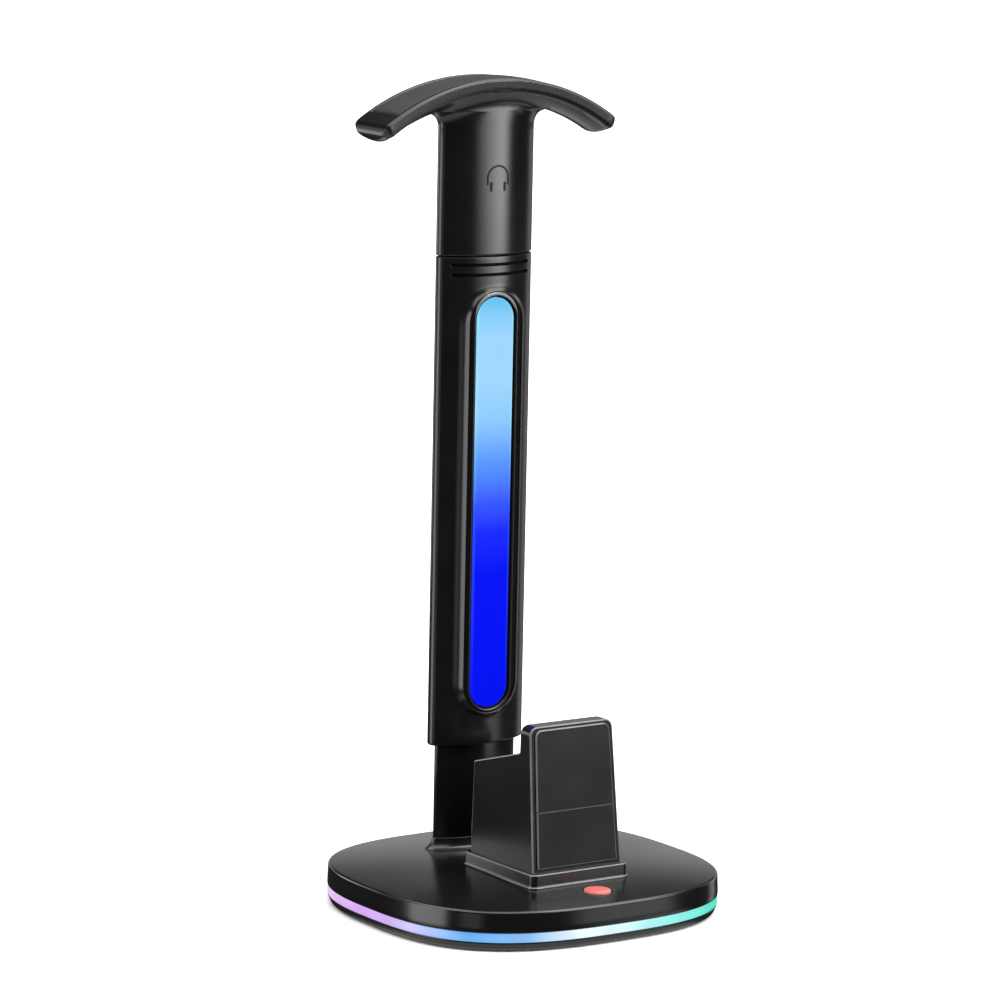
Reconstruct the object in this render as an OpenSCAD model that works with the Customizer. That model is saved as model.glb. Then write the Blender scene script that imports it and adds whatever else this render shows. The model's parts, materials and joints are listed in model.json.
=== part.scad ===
// Free-standing hanger with a lit column, a charging cradle and a lit base.
// Origin: middle of the footprint, on the surface it stands on. Front is -Y.

/* [Base] */
// Width of the base along X
base_w = 154; // [150:1:160]
// Depth of the base along Y
base_d = 144.6; // [140:0.2:150]
// Squareness of the base outline (2 is an ellipse)
base_square = 2.78; // [2.6:0.02:3.2]
// Height of the side wall of the base
base_wall_h = 17; // [16.6:0.1:17.4]
// Rise of the crowned top above the side wall
base_crown = 2; // [1.6:0.1:2.2]
// Lower edge of the light strip
ring_lo = 4.1; // [3.8:0.1:4.4]
// Upper edge of the light strip
ring_hi = 7.9; // [7.6:0.1:8]
// Diameter of each rubber foot
foot_d = 16; // [10:1:18]

/* [Button] */
// Diameter of the round button
button_d = 11.2; // [10:0.1:11.6]
// Distance of the button in front of the middle of the base
button_y = 54.9; // [54:0.1:56]
// Height of the button above the top of the base
button_proud = 1.2; // [0.9:0.1:1.6]

/* [Column] */
// Width of the column
col_w = 46.8; // [45:0.2:48]
// Front of the column ahead of its widest line
col_front = 9.8; // [9.4:0.1:10.4]
// Back of the column behind its widest line
col_back = 8.1; // [7.8:0.1:8.6]
// Distance of the widest line of the column behind the middle of the base
col_y = 38.4; // [37:0.2:40]
// Height of the split line between column and hanger
split_z = 272.8; // [268:0.1:276]
// Width of the lit window
window_w = 18.8; // [17:0.1:19]
// Width of the raised frame on each side of the lit window
bezel_w = 3.3; // [2.4:0.1:3.4]
// Height of the raised frame above and below the lit window
bezel_end = 1.6; // [1.4:0.1:2.2]
// Top of the lit window
window_top = 255.4; // [250:0.1:255.4]
// Bottom of the lit window
window_bottom = 80; // [80:1:110]

/* [Hanger] */
// Radius of the top of the arms
arm_r = 101; // [98:0.5:104]
// Sweep of the arms
arm_sweep = 72; // [60:1:76]
// Depth of the arms along Y
arm_depth = 25.4; // [24:0.1:28]
// Thickness of the arms
arm_thick = 10.5; // [10:0.1:11.5]
// Overall height of the stand
stand_h = 346.9; // [345:0.1:350]

/* [Cradle] */
// Width of the cradle body
dock_w = 44.2; // [43:0.2:45]
// Front of the cradle body at its foot
dock_front = 39.7; // [39:0.1:40.4]
// Rear of the cradle body
dock_rear = 6.9; // [6.4:0.1:8]
// Height of the cradle's front wall
dock_top = 84.8; // [83:0.1:86]
// Height of the seam across the cradle
dock_seam = 49.6; // [48:0.1:51]
// Backward lean of the front wall in degrees
dock_lean = 6; // [5:0.5:6.5]
// Side of the square plinth under the cradle
plinth_w = 48.8; // [48:0.2:50]
// Travel of the sprung contacts
pin_travel = 1.2; // [0.8:0.1:1.2]

/* [Hidden] */
$fn = 64;
ha = base_w / 2;
hb = base_d / 2;
crown_r = ha * ha / (2 * base_crown);
crown_cz = base_wall_h + base_crown - crown_r;
floor_lo = 0.8;
floor_hi = 3;
ceil_z = 14.6;
seat_z = 17.4;
wall = 2.2;
skirt = 2.4;
plinth_top = 24.6;
plinth_y0 = -43;
plinth_y1 = 9.2;
plate_proud = 1;
taper = 0.024;
plate_foot = 26;
lean = tan(dock_lean);
chw = col_w / 2;
c_r = 3.4;
waist_hw = 20;
waist_f = 6.4;
waist_b = 4.9;
waist_r = 1.6;
waist_top = 76;
col_screw_z = 72.4;
col_lo = 64;
collar_top = 23.6;
head_y = 38.3;
arm_cz = stand_h - arm_r;
pad_half = 10;
pad_sweep = 60;
board_z = 8;
board_t = 1.6;
screw_spots = [[56, 22], [-56, 22], [56, -22], [-56, -22]];
foot_spots = [[48, 45], [-48, 45], [48, -45], [-48, -45]];
post_spots = [[22, -52], [-22, -52], [22, -26], [-22, -26]];
dock_screw_spots = [[20, -34], [-20, -34], [20, 2], [-20, 2]];
button_top = crown_cz + sqrt(crown_r * crown_r - button_y * button_y) + button_proud;
pin_xs = [-4.5, -1.5, 1.5, 4.5];
pocket_z = 59;
pin_y = -12;
pin_block_top = 63;

// superellipse outline, drawn in by i
function se(i) = [for (k = [0:119]) let (c = cos(3 * k), s = sin(3 * k), p = 2 / base_square)
  [(ha - i) * sign(c) * pow(abs(c), p), (hb - i) * sign(s) * pow(abs(s), p)]];

// lens outline: two flat arcs joined by round corners of radius r
function lens_arc(cx, cy, r, a0, a1, m) =
  [for (k = [0:m - 1]) let (a = a0 + (a1 - a0) * k / m) [cx + r * cos(a), cy + r * sin(a)]];
function lens_pts(hw, f, b, r) =
  let (e = hw - r,
    rf = (e * e + f * f - r * r) / (2 * (f - r)),
    rb = (e * e + b * b - r * r) / (2 * (b - r)),
    af = atan2(rf - f, e), ab = atan2(rb - b, e))
  concat(lens_arc(0, rf - f, rf, 180 + af, 360 - af, 18),
    lens_arc(e, 0, r, -af, ab, 8),
    lens_arc(0, b - rb, rb, ab, 180 - ab, 18),
    lens_arc(-e, 0, r, 180 - ab, 180 + af, 8));

module base_slab(i, z0, z1) { translate([0, 0, z0]) linear_extrude(z1 - z0) polygon(se(i)); }
module col_bar(i, z0, z1) {
  translate([0, col_y, z0]) linear_extrude(z1 - z0)
    polygon(lens_pts(chw - i, col_front - i, col_back - i, c_r - i));
}
module waist_bar(i, z0, z1) {
  translate([0, col_y, z0]) linear_extrude(z1 - z0)
    polygon(lens_pts(waist_hw - i, waist_f - i, waist_b - i, waist_r - i));
}
// outline in X and Z, swept from y0 to y1
module sweep_y(y0, y1) { translate([0, y1, 0]) rotate([90, 0, 0]) linear_extrude(y1 - y0) children(); }
// outline in Y and Z, swept from -hw to hw
module sweep_x(hw) { translate([-hw, 0, 0]) rotate([90, 0, 90]) linear_extrude(2 * hw) children(); }
module stadium(w, z0, z1) {
  translate([-w / 2, z0 + w / 2]) square([w, z1 - z0 - w]);
  translate([0, z0 + w / 2]) circle(d = w);
  translate([0, z1 - w / 2]) circle(d = w);
}
module round_rect(x0, y0, x1, y1, r) {
  translate([x0 + r, y0]) square([x1 - x0 - 2 * r, y1 - y0]);
  translate([x0, y0 + r]) square([x1 - x0, y1 - y0 - 2 * r]);
  for (x = [x0 + r, x1 - r], y = [y0 + r, y1 - r]) translate([x, y]) circle(r);
}
module rod(x, y, z0, z1, d) { translate([x, y, z0]) cylinder(d = d, h = z1 - z0); }
module screw(x, y, z0, z1, d, hd, hh) {
  rod(x, y, z0, z0 + hh, hd);
  rod(x, y, z0 + hh - 0.01, z1, d);
}
// arc of the arms: outline in radius and depth, swept about the arm centre
module arm_arc(sweep) {
  translate([0, head_y, arm_cz]) rotate([90, 0, 0]) rotate([0, 0, 90 - sweep / 2])
    rotate_extrude(angle = sweep, $fn = 180) children();
}

module rubber_feet() {
  color("#1c1c1e") for (p = foot_spots) difference() {
    rod(p[0], p[1], 0, 1.6, foot_d);
    rod(p[0], p[1], -1, 0.4, foot_d * 0.4);
  }
}

module base_bottom_shell() {
  color("#161618") difference() {
    union() {
      difference() {
        base_slab(1.1, floor_lo, ring_lo);
        base_slab(4.6, floor_hi, ring_lo + 1);
      }
      difference() {
        base_slab(8, floor_hi - 0.5, ring_hi + 0.3);
        base_slab(9.6, floor_hi, ring_hi + 2);
      }
      for (p = post_spots) rod(p[0], p[1], floor_hi - 0.5, board_z, 5);
    }
    for (p = foot_spots) rod(p[0], p[1], 0, 1.6, foot_d + 0.2);
    for (p = screw_spots) { rod(p[0], p[1], 0, floor_hi + 1, 3.4); rod(p[0], p[1], 0, 2, 6); }
    for (p = post_spots) rod(p[0], p[1], floor_hi + 1, board_z + 1, 2);
  }
}

module base_light_ring() {
  color("#b9d8ff") difference() {
    base_slab(0, ring_lo, ring_hi);
    base_slab(4, ring_lo - 1, ring_hi + 1);
  }
}

module ring_led_strip() {
  color("#f2f2ea") {
    difference() {
      base_slab(7.5, ring_lo + 0.3, ring_hi - 0.3);
      base_slab(8, ring_lo - 1, ring_hi + 1);
    }
    for (k = [0:5:119]) let (p = se(6.9)[k], q = se(7.6)[(k + 1) % 120], w = se(7.6)[(k + 119) % 120])
      translate([p[0], p[1], ring_lo + 0.9]) rotate([0, 0, atan2(q[1] - w[1], q[0] - w[0])])
        translate([-1.6, -0.5, 0]) cube([3.2, 1.2, 2]);
  }
}

module base_top_cover() {
  color("#19191b") difference() {
    union() {
      difference() {
        intersection() {
          base_slab(0, ring_hi, base_wall_h + base_crown + 1);
          translate([0, 0, crown_cz]) sphere(r = crown_r, $fn = 96);
        }
        base_slab(skirt, ring_hi - 1, ceil_z);
      }
      for (p = screw_spots) rod(p[0], p[1], floor_hi, ceil_z + 0.5, 7);
    }
    for (p = screw_spots) rod(p[0], p[1], floor_hi - 1, ceil_z - 2, 2.6);
    rod(0, -button_y, ceil_z - 1, 30, button_d + 0.6);
    translate([0, 0, seat_z]) linear_extrude(10)
      round_rect(-plinth_w / 2, plinth_y0, plinth_w / 2, plinth_y1, 3);
    translate([0, 0, ceil_z - 1]) linear_extrude(10) round_rect(-12, -28, 12, -4, 2);
    for (p = dock_screw_spots) rod(p[0], p[1], ceil_z - 1, 30, 2.9);
    translate([0, col_y, seat_z]) linear_extrude(10)
      polygon(lens_pts(chw, col_front, col_back, c_r));
    rod(8, col_y - 0.2, ceil_z - 1, 30, 5);
    for (x = [-13, 13]) rod(x, col_y - 0.6, ceil_z - 1, 30, 2.9);
    sweep_y(hb - 8, hb + 2) translate([0, 11.4]) rotate(90) stadium(3.9, -4.9, 4.9);
  }
}

module base_screws() {
  color("#8d9096") for (p = screw_spots) screw(p[0], p[1], 1, 11, 2.6, 5.6, 1);
}

module ballast_plate() {
  color("#6d7075") translate([0, 0, floor_hi]) linear_extrude(5) difference() {
    round_rect(-36, 18, 36, 58, 4);
    for (x = [-28, 28]) translate([x, 38]) circle(d = 4);
  }
}

module main_circuit_board() {
  color("#1f6b3b") {
    difference() {
      translate([0, 0, board_z]) linear_extrude(board_t) round_rect(-26, -59.5, 26, -20, 1.5);
      for (p = post_spots) rod(p[0], p[1], 0, 20, 2.2);
    }
    translate([-12, -44, board_z + board_t]) cube([7, 7, 1]);
    translate([6, -38, board_z + board_t]) cube([5, 4, 1.2]);
    translate([-20, -38, board_z + board_t]) cube([4, 6, 1.6]);
  }
}

module board_screws() {
  color("#a9abb0") for (p = post_spots) {
    rod(p[0], p[1], board_z + board_t, board_z + board_t + 1.3, 3.8);
    rod(p[0], p[1], floor_hi + 1.6, board_z + board_t + 0.1, 2);
  }
}

module button_switch() {
  color("#2a2a2c") {
    translate([-3, -button_y - 3, board_z + board_t]) cube([6, 6, 2]);
    rod(0, -button_y, board_z + board_t, 12.3, 3);
  }
}

module mode_button() {
  color("#f0605e") {
    intersection() {
      rod(0, -button_y, 13.3, button_top + 1, button_d);
      translate([0, -button_y, button_top - 40]) sphere(r = 40, $fn = 96);
    }
    rod(0, -button_y, 13.2, 14.2, button_d + 3);
  }
}

module usb_c_inlet() {
  color("#b8bcc2") difference() {
    sweep_y(hb - 8.6, hb - 0.6) translate([0, 11.4]) rotate(90) stadium(3.3, -4.5, 4.5);
    sweep_y(hb - 6.4, hb) translate([0, 11.4]) rotate(90) stadium(2.7, -4.2, 4.2);
    sweep_y(hb - 8.7, hb - 7) translate([0, 11.4]) square([3, 1], center = true);
  }
}

module inlet_board() {
  color("#1f6b3b") translate([-9, hb - 16, 8.5]) cube([18, 12.6, 1.25]);
}

module dock_plinth() {
  color("#161618") difference() {
    translate([0, 0, seat_z]) linear_extrude(plinth_top - seat_z) difference() {
      round_rect(-plinth_w / 2, plinth_y0, plinth_w / 2, plinth_y1, 3);
      round_rect(-16, -30, 16, -2, 2);
    }
    for (p = dock_screw_spots) rod(p[0], p[1], seat_z - 1, 22.4, 2.4);
  }
}

module dock_screws() {
  color("#8d9096") {
    for (p = dock_screw_spots) screw(p[0], p[1], 12.6, 22, 2.4, 4.6, 2);
    for (x = [-13, 13]) screw(x, col_y - 0.6, 12.6, 25, 2.4, 4.6, 2);
  }
}

// front face of the cradle at height z, moved back by t
function face_y(z, t) = -dock_front + (z - plinth_top) * lean + t;
module dock_taper(grow, z0, z1) {
  sweep_y(-60, 30) polygon([for (s = [-1, 1], z = s > 0 ? [z0, z1] : [z1, z0])
    [s * (dock_w / 2 + grow - (z - plinth_top) * taper), z]]);
}

module dock_lower_body() {
  color("#1a1a1c") intersection() {
    difference() {
      sweep_x(30) polygon([[face_y(plinth_top, 0), plinth_top], [dock_rear, plinth_top],
        [dock_rear, dock_seam], [face_y(dock_seam, 0), dock_seam]]);
      sweep_x(dock_w / 2 - 2.6) polygon([[face_y(plinth_top - 1, 2.4), plinth_top - 1],
        [dock_rear - 2.4, plinth_top - 1], [dock_rear - 2.4, dock_seam + 1],
        [face_y(dock_seam + 1, 2.4), dock_seam + 1]]);
    }
    dock_taper(0, plinth_top - 1, dock_seam + 1);
  }
}

module dock_upper_body() {
  color("#1a1a1c") intersection() {
    difference() {
      sweep_x(30) polygon([[face_y(dock_seam, 0), dock_seam], [dock_rear, dock_seam],
        [dock_rear, 63.4], [-26.4, 73], [-26.4, dock_top], [face_y(dock_top, 0), dock_top]]);
      sweep_x(17) polygon([[-26.4, pocket_z], [3.4, pocket_z], [3.4, 90], [-26.4, 90]]);
      sweep_x(dock_w / 2 - 3) polygon([[face_y(dock_seam - 1, 2.6), dock_seam - 1],
        [dock_rear - 2.4, dock_seam - 1], [dock_rear - 2.4, pocket_z - 2.4],
        [face_y(pocket_z - 2.4, 2.6), pocket_z - 2.4]]);
      translate([-8.1, pin_y - 3.1, pocket_z - 5]) cube([16.2, 6.2, 10]);
    }
    dock_taper(0, dock_seam - 1, dock_top + 1);
  }
}

module front_plate(z0, z1, r) {
  sweep_x(30) polygon([[face_y(z0, -plate_proud), z0], [face_y(z0, 0), z0],
    [face_y(z1, 0), z1], [face_y(z1, -plate_proud), z1]]);
}
module plate_outline(z0, z1, r) {
  w0 = dock_w / 2 - 2.15 - (z0 - plinth_top) * taper;
  w1 = dock_w / 2 - 2.15 - (z1 - plinth_top) * taper;
  sweep_y(-60, 0) {
    polygon([[-w0, z0], [w0, z0], [w1, z1 - r], [-w1, z1 - r]]);
    if (r > 0) {
      translate([-w1 + r, z1 - r - 0.5]) square([2 * (w1 - r), r + 0.5]);
      for (s = [-1, 1]) translate([s * (w1 - r), z1 - r]) circle(r);
    }
  }
}

module dock_front_plate_lower() {
  color("#2b2b2e") intersection() {
    front_plate(plate_foot, dock_seam - 0.15, 0);
    plate_outline(plate_foot, dock_seam - 0.15, 0);
  }
}

module dock_front_plate_upper() {
  color("#2b2b2e") intersection() {
    front_plate(dock_seam + 0.15, dock_top - 1.3, 3);
    plate_outline(dock_seam + 0.15, dock_top - 1.3, 3);
  }
}

module dock_contact_board() {
  color("#1f6b3b") translate([-14, pin_y - 9, 52.2]) cube([28, 18, 1.2]);
}

module charge_pin_housing() {
  color("#111113") difference() {
    translate([-8, pin_y - 3, 53.4]) cube([16, 6, pin_block_top - 53.4]);
    for (x = pin_xs) {
      rod(x, pin_y, 55, 70, 2.2);
    }
  }
}

module charge_pins() {
  color("#d8b24a") for (x = pin_xs) {
    rod(x, pin_y, 57, pin_block_top + 0.9, 1.6);
    translate([x, pin_y, pin_block_top + 0.9]) sphere(d = 1.6, $fn = 32);
  }
}

module dock_lead() {
  color("#303034") rod(-8, -22, board_z + board_t, 50.8, 2.4);
  color("#303034") translate([-8, -22, 50.8]) sphere(d = 2.4, $fn = 32);
  color("#303034") translate([-8, -22, 50.8]) rotate([-90, 0, 0]) cylinder(d = 2.4, h = 4);
  color("#303034") translate([-8, -18, 50.8]) sphere(d = 2.4, $fn = 32);
  color("#303034") rod(-8, -18, 50.8, 52.2, 2.4);
}

module column_foot_collar() {
  color("#161618") difference() {
    union() {
      col_bar(0, seat_z, 19.2);
      for (k = [0:4]) let (t = (k + 1) / 5)
        col_bar(0.4 + 2.2 * (1 - (1 - t) * (1 - t)), 19.1, 19.2 + 4.4 * t * t);
    }
    waist_bar(-0.05, seat_z - 1, collar_top + 1);
  }
}

module column_pedestal() {
  color("#19191b") difference() {
    waist_bar(0, seat_z, waist_top);
    difference() {
      waist_bar(1.5, seat_z + 10, waist_top + 1);
      for (x = [-13, 13]) rod(x, col_y - 0.6, seat_z, 40, 6);
    }
    rod(8, col_y - 0.2, seat_z - 1, waist_top + 1, 4.6);
    for (x = [-13, 13]) rod(x, col_y - 0.6, seat_z - 1, 26, 2.4);
    for (x = [-10, 10]) translate([x, col_y, col_screw_z]) rotate([-90, 0, 0]) cylinder(d = 2.2, h = 10);
  }
}

module column_lower_bush() {
  color("#161618") difference() {
    col_bar(wall + 0.05, col_lo + 0.6, col_lo + 4);
    waist_bar(-0.05, col_lo, col_lo + 6);
  }
}

module column_tube(z0, z1) {
  difference() {
    col_bar(0, z0, z1);
    col_bar(wall, z0 - 1, z1 + 1);
  }
}

module column_front_shell() {
  color("#1b1b1d") difference() {
    intersection() {
      column_tube(col_lo, split_z - 0.4);
      translate([-50, col_y - 40, 0]) cube([100, 40, 400]);
    }
    sweep_y(0, col_y - 2) stadium(window_w + 2 * bezel_w + 0.1, window_bottom - bezel_end - 0.05, window_top + bezel_end + 0.05);
    for (z = [split_z - 3.8, split_z - 8]) difference() {
      translate([-19.4, col_y - 20, z - 0.45]) cube([38.8, 19, 0.9]);
      col_bar(0.7, z - 2, z + 2);
    }
  }
}

module column_back_cover() {
  color("#1b1b1d") difference() {
    intersection() {
      column_tube(col_lo, split_z - 0.4);
      translate([-50, col_y, 0]) cube([100, 40, 400]);
    }
    for (x = [-10, 10], z = [col_screw_z, split_z - 8]) translate([x, col_y, z]) rotate([-90, 0, 0]) {
      cylinder(d = 2.7, h = 20);
      translate([0, 0, 5.6]) cylinder(d = 4.6, h = 20);
    }
  }
}

module column_window_bezel() {
  color("#0d0d0f") difference() {
    sweep_y(col_y - col_front - 0.3, col_y - col_front + 4.6)
      stadium(window_w + 2 * bezel_w, window_bottom - bezel_end, window_top + bezel_end);
    sweep_y(-1, 60) stadium(window_w, window_bottom, window_top);
  }
}

module column_diffuser() {
  color("#7cc4ff") sweep_y(col_y - col_front - 0.1, col_y - col_front + 1.9)
    stadium(window_w - 0.1, window_bottom + 0.05, window_top - 0.05);
}

module column_led_board() {
  color("#e8e8e2") {
    translate([-7, col_y - 0.6, window_bottom + 22]) cube([14, 1.2, window_top - window_bottom - 30]);
    for (k = [0:10]) translate([-2.5, col_y - 2.2, window_bottom + 26 + k * 13.4]) cube([5, 1.7, 5]);
  }
}

module column_lead() {
  color("#303034") {
    rod(8, col_y - 0.2, 12.2, 99, 2.4);
    translate([8, col_y - 0.2, 99]) sphere(d = 2.4, $fn = 32);
    translate([8, col_y - 0.2, 12.2]) sphere(d = 2.4, $fn = 32);
    translate([8, -23, 12.2]) rotate([-90, 0, 0]) cylinder(d = 2.4, h = col_y + 22.8);
    translate([8, -23, 12.2]) sphere(d = 2.4, $fn = 32);
    rod(8, -23, board_z + board_t, 12.2, 2.4);
  }
}

module column_screws() {
  color("#8d9096") for (x = [-10, 10], z = [col_screw_z, split_z - 8])
    translate([x, col_y, z]) rotate([-90, 0, 0]) {
      translate([0, 0, 2.6]) cylinder(d = 2.1, h = 3.1);
      translate([0, 0, 5.65]) cylinder(d = 4.2, h = 0.75);
    }
}

module neck_spigot() {
  color("#161618") difference() {
    union() {
      col_bar(wall + 0.05, split_z - 12.6, split_z - 0.4);
      col_bar(wall + 0.35, split_z - 1, split_z + 24);
    }
    translate([0, col_y, split_z - 14]) linear_extrude(60)
      polygon(lens_pts(16, 4.4, 3, 1.2));
    for (x = [-10, 10]) translate([x, col_y, split_z - 8]) rotate([-90, 0, 0]) cylinder(d = 2.2, h = 20);
  }
}

module arm_section() {
  polygon(concat(
    [[arm_r - 1.6, -arm_depth / 2], [arm_r, -arm_depth / 2 + 1.4],
     [arm_r, arm_depth / 2 - 1.4], [arm_r - 1.6, arm_depth / 2], [arm_r - 5, arm_depth / 2]],
    [for (k = [0:20]) let (a = 180 * k / 20)
      [arm_r - 5.3 - (arm_thick - 5.3) * pow(sin(a), 0.8), (arm_depth / 2 - 0.6) * cos(a)]],
    [[arm_r - 5, -arm_depth / 2]]));
}

module neck_gusset() {
  z0 = arm_cz + sqrt(pow(arm_r - arm_thick, 2) - 30.4 * 30.4) - 7.3;
  for (s = [-1, 1]) sweep_y(col_y - 3.2, col_y + 3.2) difference() {
    translate([s > 0 ? chw - 2 : -30.4, z0]) square([30.4 - chw + 2, 9]);
    translate([s * 30.4, z0]) circle(7);
  }
}

module hanger_body() {
  color("#1b1b1d") difference() {
    union() {
      col_bar(0, split_z, arm_cz + arm_r - 7.3);
      arm_arc(arm_sweep) arm_section();
      neck_gusset();
    }
    col_bar(wall, split_z - 1, arm_cz + arm_r - 17);
    arm_arc(pad_sweep + 0.4) translate([arm_r - 3, -pad_half - 0.1]) square([20, 2 * pad_half + 0.2]);
  }
}

module hanger_pad() {
  color("#3c3c40") arm_arc(pad_sweep) translate([arm_r - 3, -pad_half]) square([3, 2 * pad_half]);
}

rubber_feet();
base_bottom_shell();
base_light_ring();
ring_led_strip();
base_top_cover();
base_screws();
ballast_plate();
main_circuit_board();
board_screws();
button_switch();
mode_button();
usb_c_inlet();
inlet_board();
dock_plinth();
dock_screws();
dock_lower_body();
dock_upper_body();
dock_front_plate_lower();
dock_front_plate_upper();
dock_contact_board();
charge_pin_housing();
charge_pins();
dock_lead();
column_foot_collar();
column_pedestal();
column_lower_bush();
column_front_shell();
column_back_cover();
column_window_bezel();
column_diffuser();
column_led_board();
column_lead();
column_screws();
neck_spigot();
hanger_body();
hanger_pad();
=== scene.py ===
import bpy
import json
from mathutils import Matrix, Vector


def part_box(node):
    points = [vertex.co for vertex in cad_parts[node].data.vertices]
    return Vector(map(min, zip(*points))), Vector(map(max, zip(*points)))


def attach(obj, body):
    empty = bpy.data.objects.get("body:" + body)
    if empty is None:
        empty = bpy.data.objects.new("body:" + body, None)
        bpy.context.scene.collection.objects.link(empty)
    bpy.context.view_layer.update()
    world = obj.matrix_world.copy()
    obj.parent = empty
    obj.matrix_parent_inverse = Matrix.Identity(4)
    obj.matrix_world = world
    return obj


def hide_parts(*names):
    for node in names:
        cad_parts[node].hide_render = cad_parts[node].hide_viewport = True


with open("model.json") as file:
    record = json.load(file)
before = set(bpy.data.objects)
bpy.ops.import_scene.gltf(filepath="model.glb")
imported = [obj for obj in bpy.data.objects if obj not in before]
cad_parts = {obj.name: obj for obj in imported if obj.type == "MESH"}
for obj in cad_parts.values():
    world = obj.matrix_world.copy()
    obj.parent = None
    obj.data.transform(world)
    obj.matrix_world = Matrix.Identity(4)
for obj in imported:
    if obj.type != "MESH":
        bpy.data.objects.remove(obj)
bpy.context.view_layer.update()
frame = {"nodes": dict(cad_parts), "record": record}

import json
import math

import bmesh
import bpy
import numpy as np
from mathutils import Matrix, Vector

# All lengths below are in millimetres; meshes are written in metres.
scene = bpy.context.scene

# ---------------------------------------------------------------- dimensions
HA, HB, SQ = 77.0, 72.3, 2.78             # base outline
COL_Y = 38.4
COL = (23.4, 9.8, 8.1, 3.4)               # column outline: half width, front, back, corner
WAIST = (20.0, 6.4, 4.9, 1.6)
COL_LO, COL_HI, SPLIT = 64.0, 272.4, 272.8
WIN_HW, WIN_LO, WIN_HI = 9.4, 80.0, 255.4
RIM_HW, RIM_END, RIM_Y = 13.4, 2.5, 27.95  # raised rim round the window
ARM_R, ARM_CZ, HEAD_Y = 101.0, 245.9, 38.3
ARM_D, PAD_D = 12.7, 10.0                 # half depths of the arms and the pad
PAD_A = math.radians(30.0)
END = (math.cos(math.radians(28.0)), math.sin(math.radians(28.0)), 13.85)


# ---------------------------------------------------------------- colours
def lin(h):
    """Linear colour of a six-figure hex sRGB colour."""
    c = [int(h[i:i + 2], 16) / 255 for i in (0, 2, 4)]
    return tuple(v / 12.92 if v <= 0.04045 else ((v + 0.055) / 1.055) ** 2.4 for v in c) + (1.0,)


# ---------------------------------------------------------------- materials
class Mat:
    """A node material being built."""

    def __init__(self, name):
        self.m = bpy.data.materials.new(name)
        self.m.use_nodes = True
        self.t = self.m.node_tree
        self.t.nodes.clear()
        out = self.t.nodes.new("ShaderNodeOutputMaterial")
        self.b = self.t.nodes.new("ShaderNodeBsdfPrincipled")
        self.t.links.new(self.b.outputs[0], out.inputs[0])
        self.co = self.t.nodes.new("ShaderNodeTexCoord").outputs["Object"]

    def node(self, kind, **kw):
        n = self.t.nodes.new(kind)
        for k, v in kw.items():
            setattr(n, k, v)
        return n

    def link(self, a, b):
        self.t.links.new(a, b)

    def put(self, **kw):
        for k, v in kw.items():
            self.b.inputs[k.replace("_", " ")].default_value = v

    def noise(self, scale, detail=3.0, rough=0.55, vec=None):
        n = self.node("ShaderNodeTexNoise")
        n.inputs["Scale"].default_value = scale
        n.inputs["Detail"].default_value = detail
        n.inputs["Roughness"].default_value = rough
        self.link(vec or self.co, n.inputs["Vector"])
        return n.outputs[0]

    def ramp(self, fac, stops, interp="LINEAR"):
        r = self.node("ShaderNodeValToRGB")
        r.color_ramp.interpolation = interp
        e = r.color_ramp.elements
        while len(e) < len(stops):
            e.new(0.5)
        for i, (p, c) in enumerate(stops):
            e[i].position = p
            e[i].color = c if len(c) == 4 else tuple(c) + (1.0,)
        self.link(fac, r.inputs[0])
        return r.outputs[0]

    def remap(self, fac, a, b, lo, hi):
        r = self.node("ShaderNodeMapRange")
        for k, v in zip(("From Min", "From Max", "To Min", "To Max"), (a, b, lo, hi)):
            r.inputs[k].default_value = v
        self.link(fac, r.inputs["Value"])
        return r.outputs[0]

    def math(self, op, a, b):
        n = self.node("ShaderNodeMath", operation=op)
        for s, v in zip(n.inputs, (a, b)):
            if isinstance(v, (int, float)):
                s.default_value = v
            else:
                self.link(v, s)
        return n.outputs[0]

    def mix(self, fac, a, b, blend="MIX"):
        n = self.node("ShaderNodeMix", data_type="RGBA", blend_type=blend)
        for s, v in ((n.inputs[0], fac), (n.inputs[6], a), (n.inputs[7], b)):
            if isinstance(v, (int, float, tuple)):
                s.default_value = v
            else:
                self.link(v, s)
        return n.outputs[2]

    def bump(self, height, strength, dist_mm, under=None):
        n = self.node("ShaderNodeBump")
        n.inputs["Strength"].default_value = strength
        n.inputs["Distance"].default_value = dist_mm * 0.001
        self.link(height, n.inputs["Height"])
        if under is not None:
            self.link(under, n.inputs["Normal"])
        return n.outputs[0]


def plastic(name, dark, light, rough, spec, grain=2600.0, depth=0.008, strength=0.14):
    """Moulded plastic: faint mottling and fine spark-eroded grain."""
    q = Mat(name)
    mott = q.noise(55.0, 5.0)
    fine = q.noise(grain, 2.0)
    q.link(q.ramp(mott, [(0.32, dark), (0.70, light)]), q.b.inputs["Base Color"])
    q.link(q.remap(q.math("ADD", q.math("MULTIPLY", mott, 0.6), q.math("MULTIPLY", fine, 0.4)), 0.3, 0.7, rough[0], rough[1]), q.b.inputs["Roughness"])
    q.link(q.bump(fine, strength, depth), q.b.inputs["Normal"])
    q.put(Specular_IOR_Level=spec)
    return q.m


def metal(name, dark, light, rough, scale=(900.0, 60.0, 900.0)):
    q = Mat(name)
    mp = q.node("ShaderNodeMapping")
    mp.inputs["Scale"].default_value = scale
    q.link(q.co, mp.inputs["Vector"])
    brush = q.noise(1.0, 4.0, vec=mp.outputs[0])
    spots = q.noise(300.0, 4.0)
    q.link(q.ramp(spots, [(0.3, dark), (0.65, light)]), q.b.inputs["Base Color"])
    q.link(q.remap(q.math("ADD", q.math("MULTIPLY", brush, 0.6), q.math("MULTIPLY", spots, 0.4)), 0.3, 0.7, rough[0], rough[1]), q.b.inputs["Roughness"])
    q.link(q.bump(brush, 0.2, 0.01), q.b.inputs["Normal"])
    q.put(Metallic=1.0)
    return q.m


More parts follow.
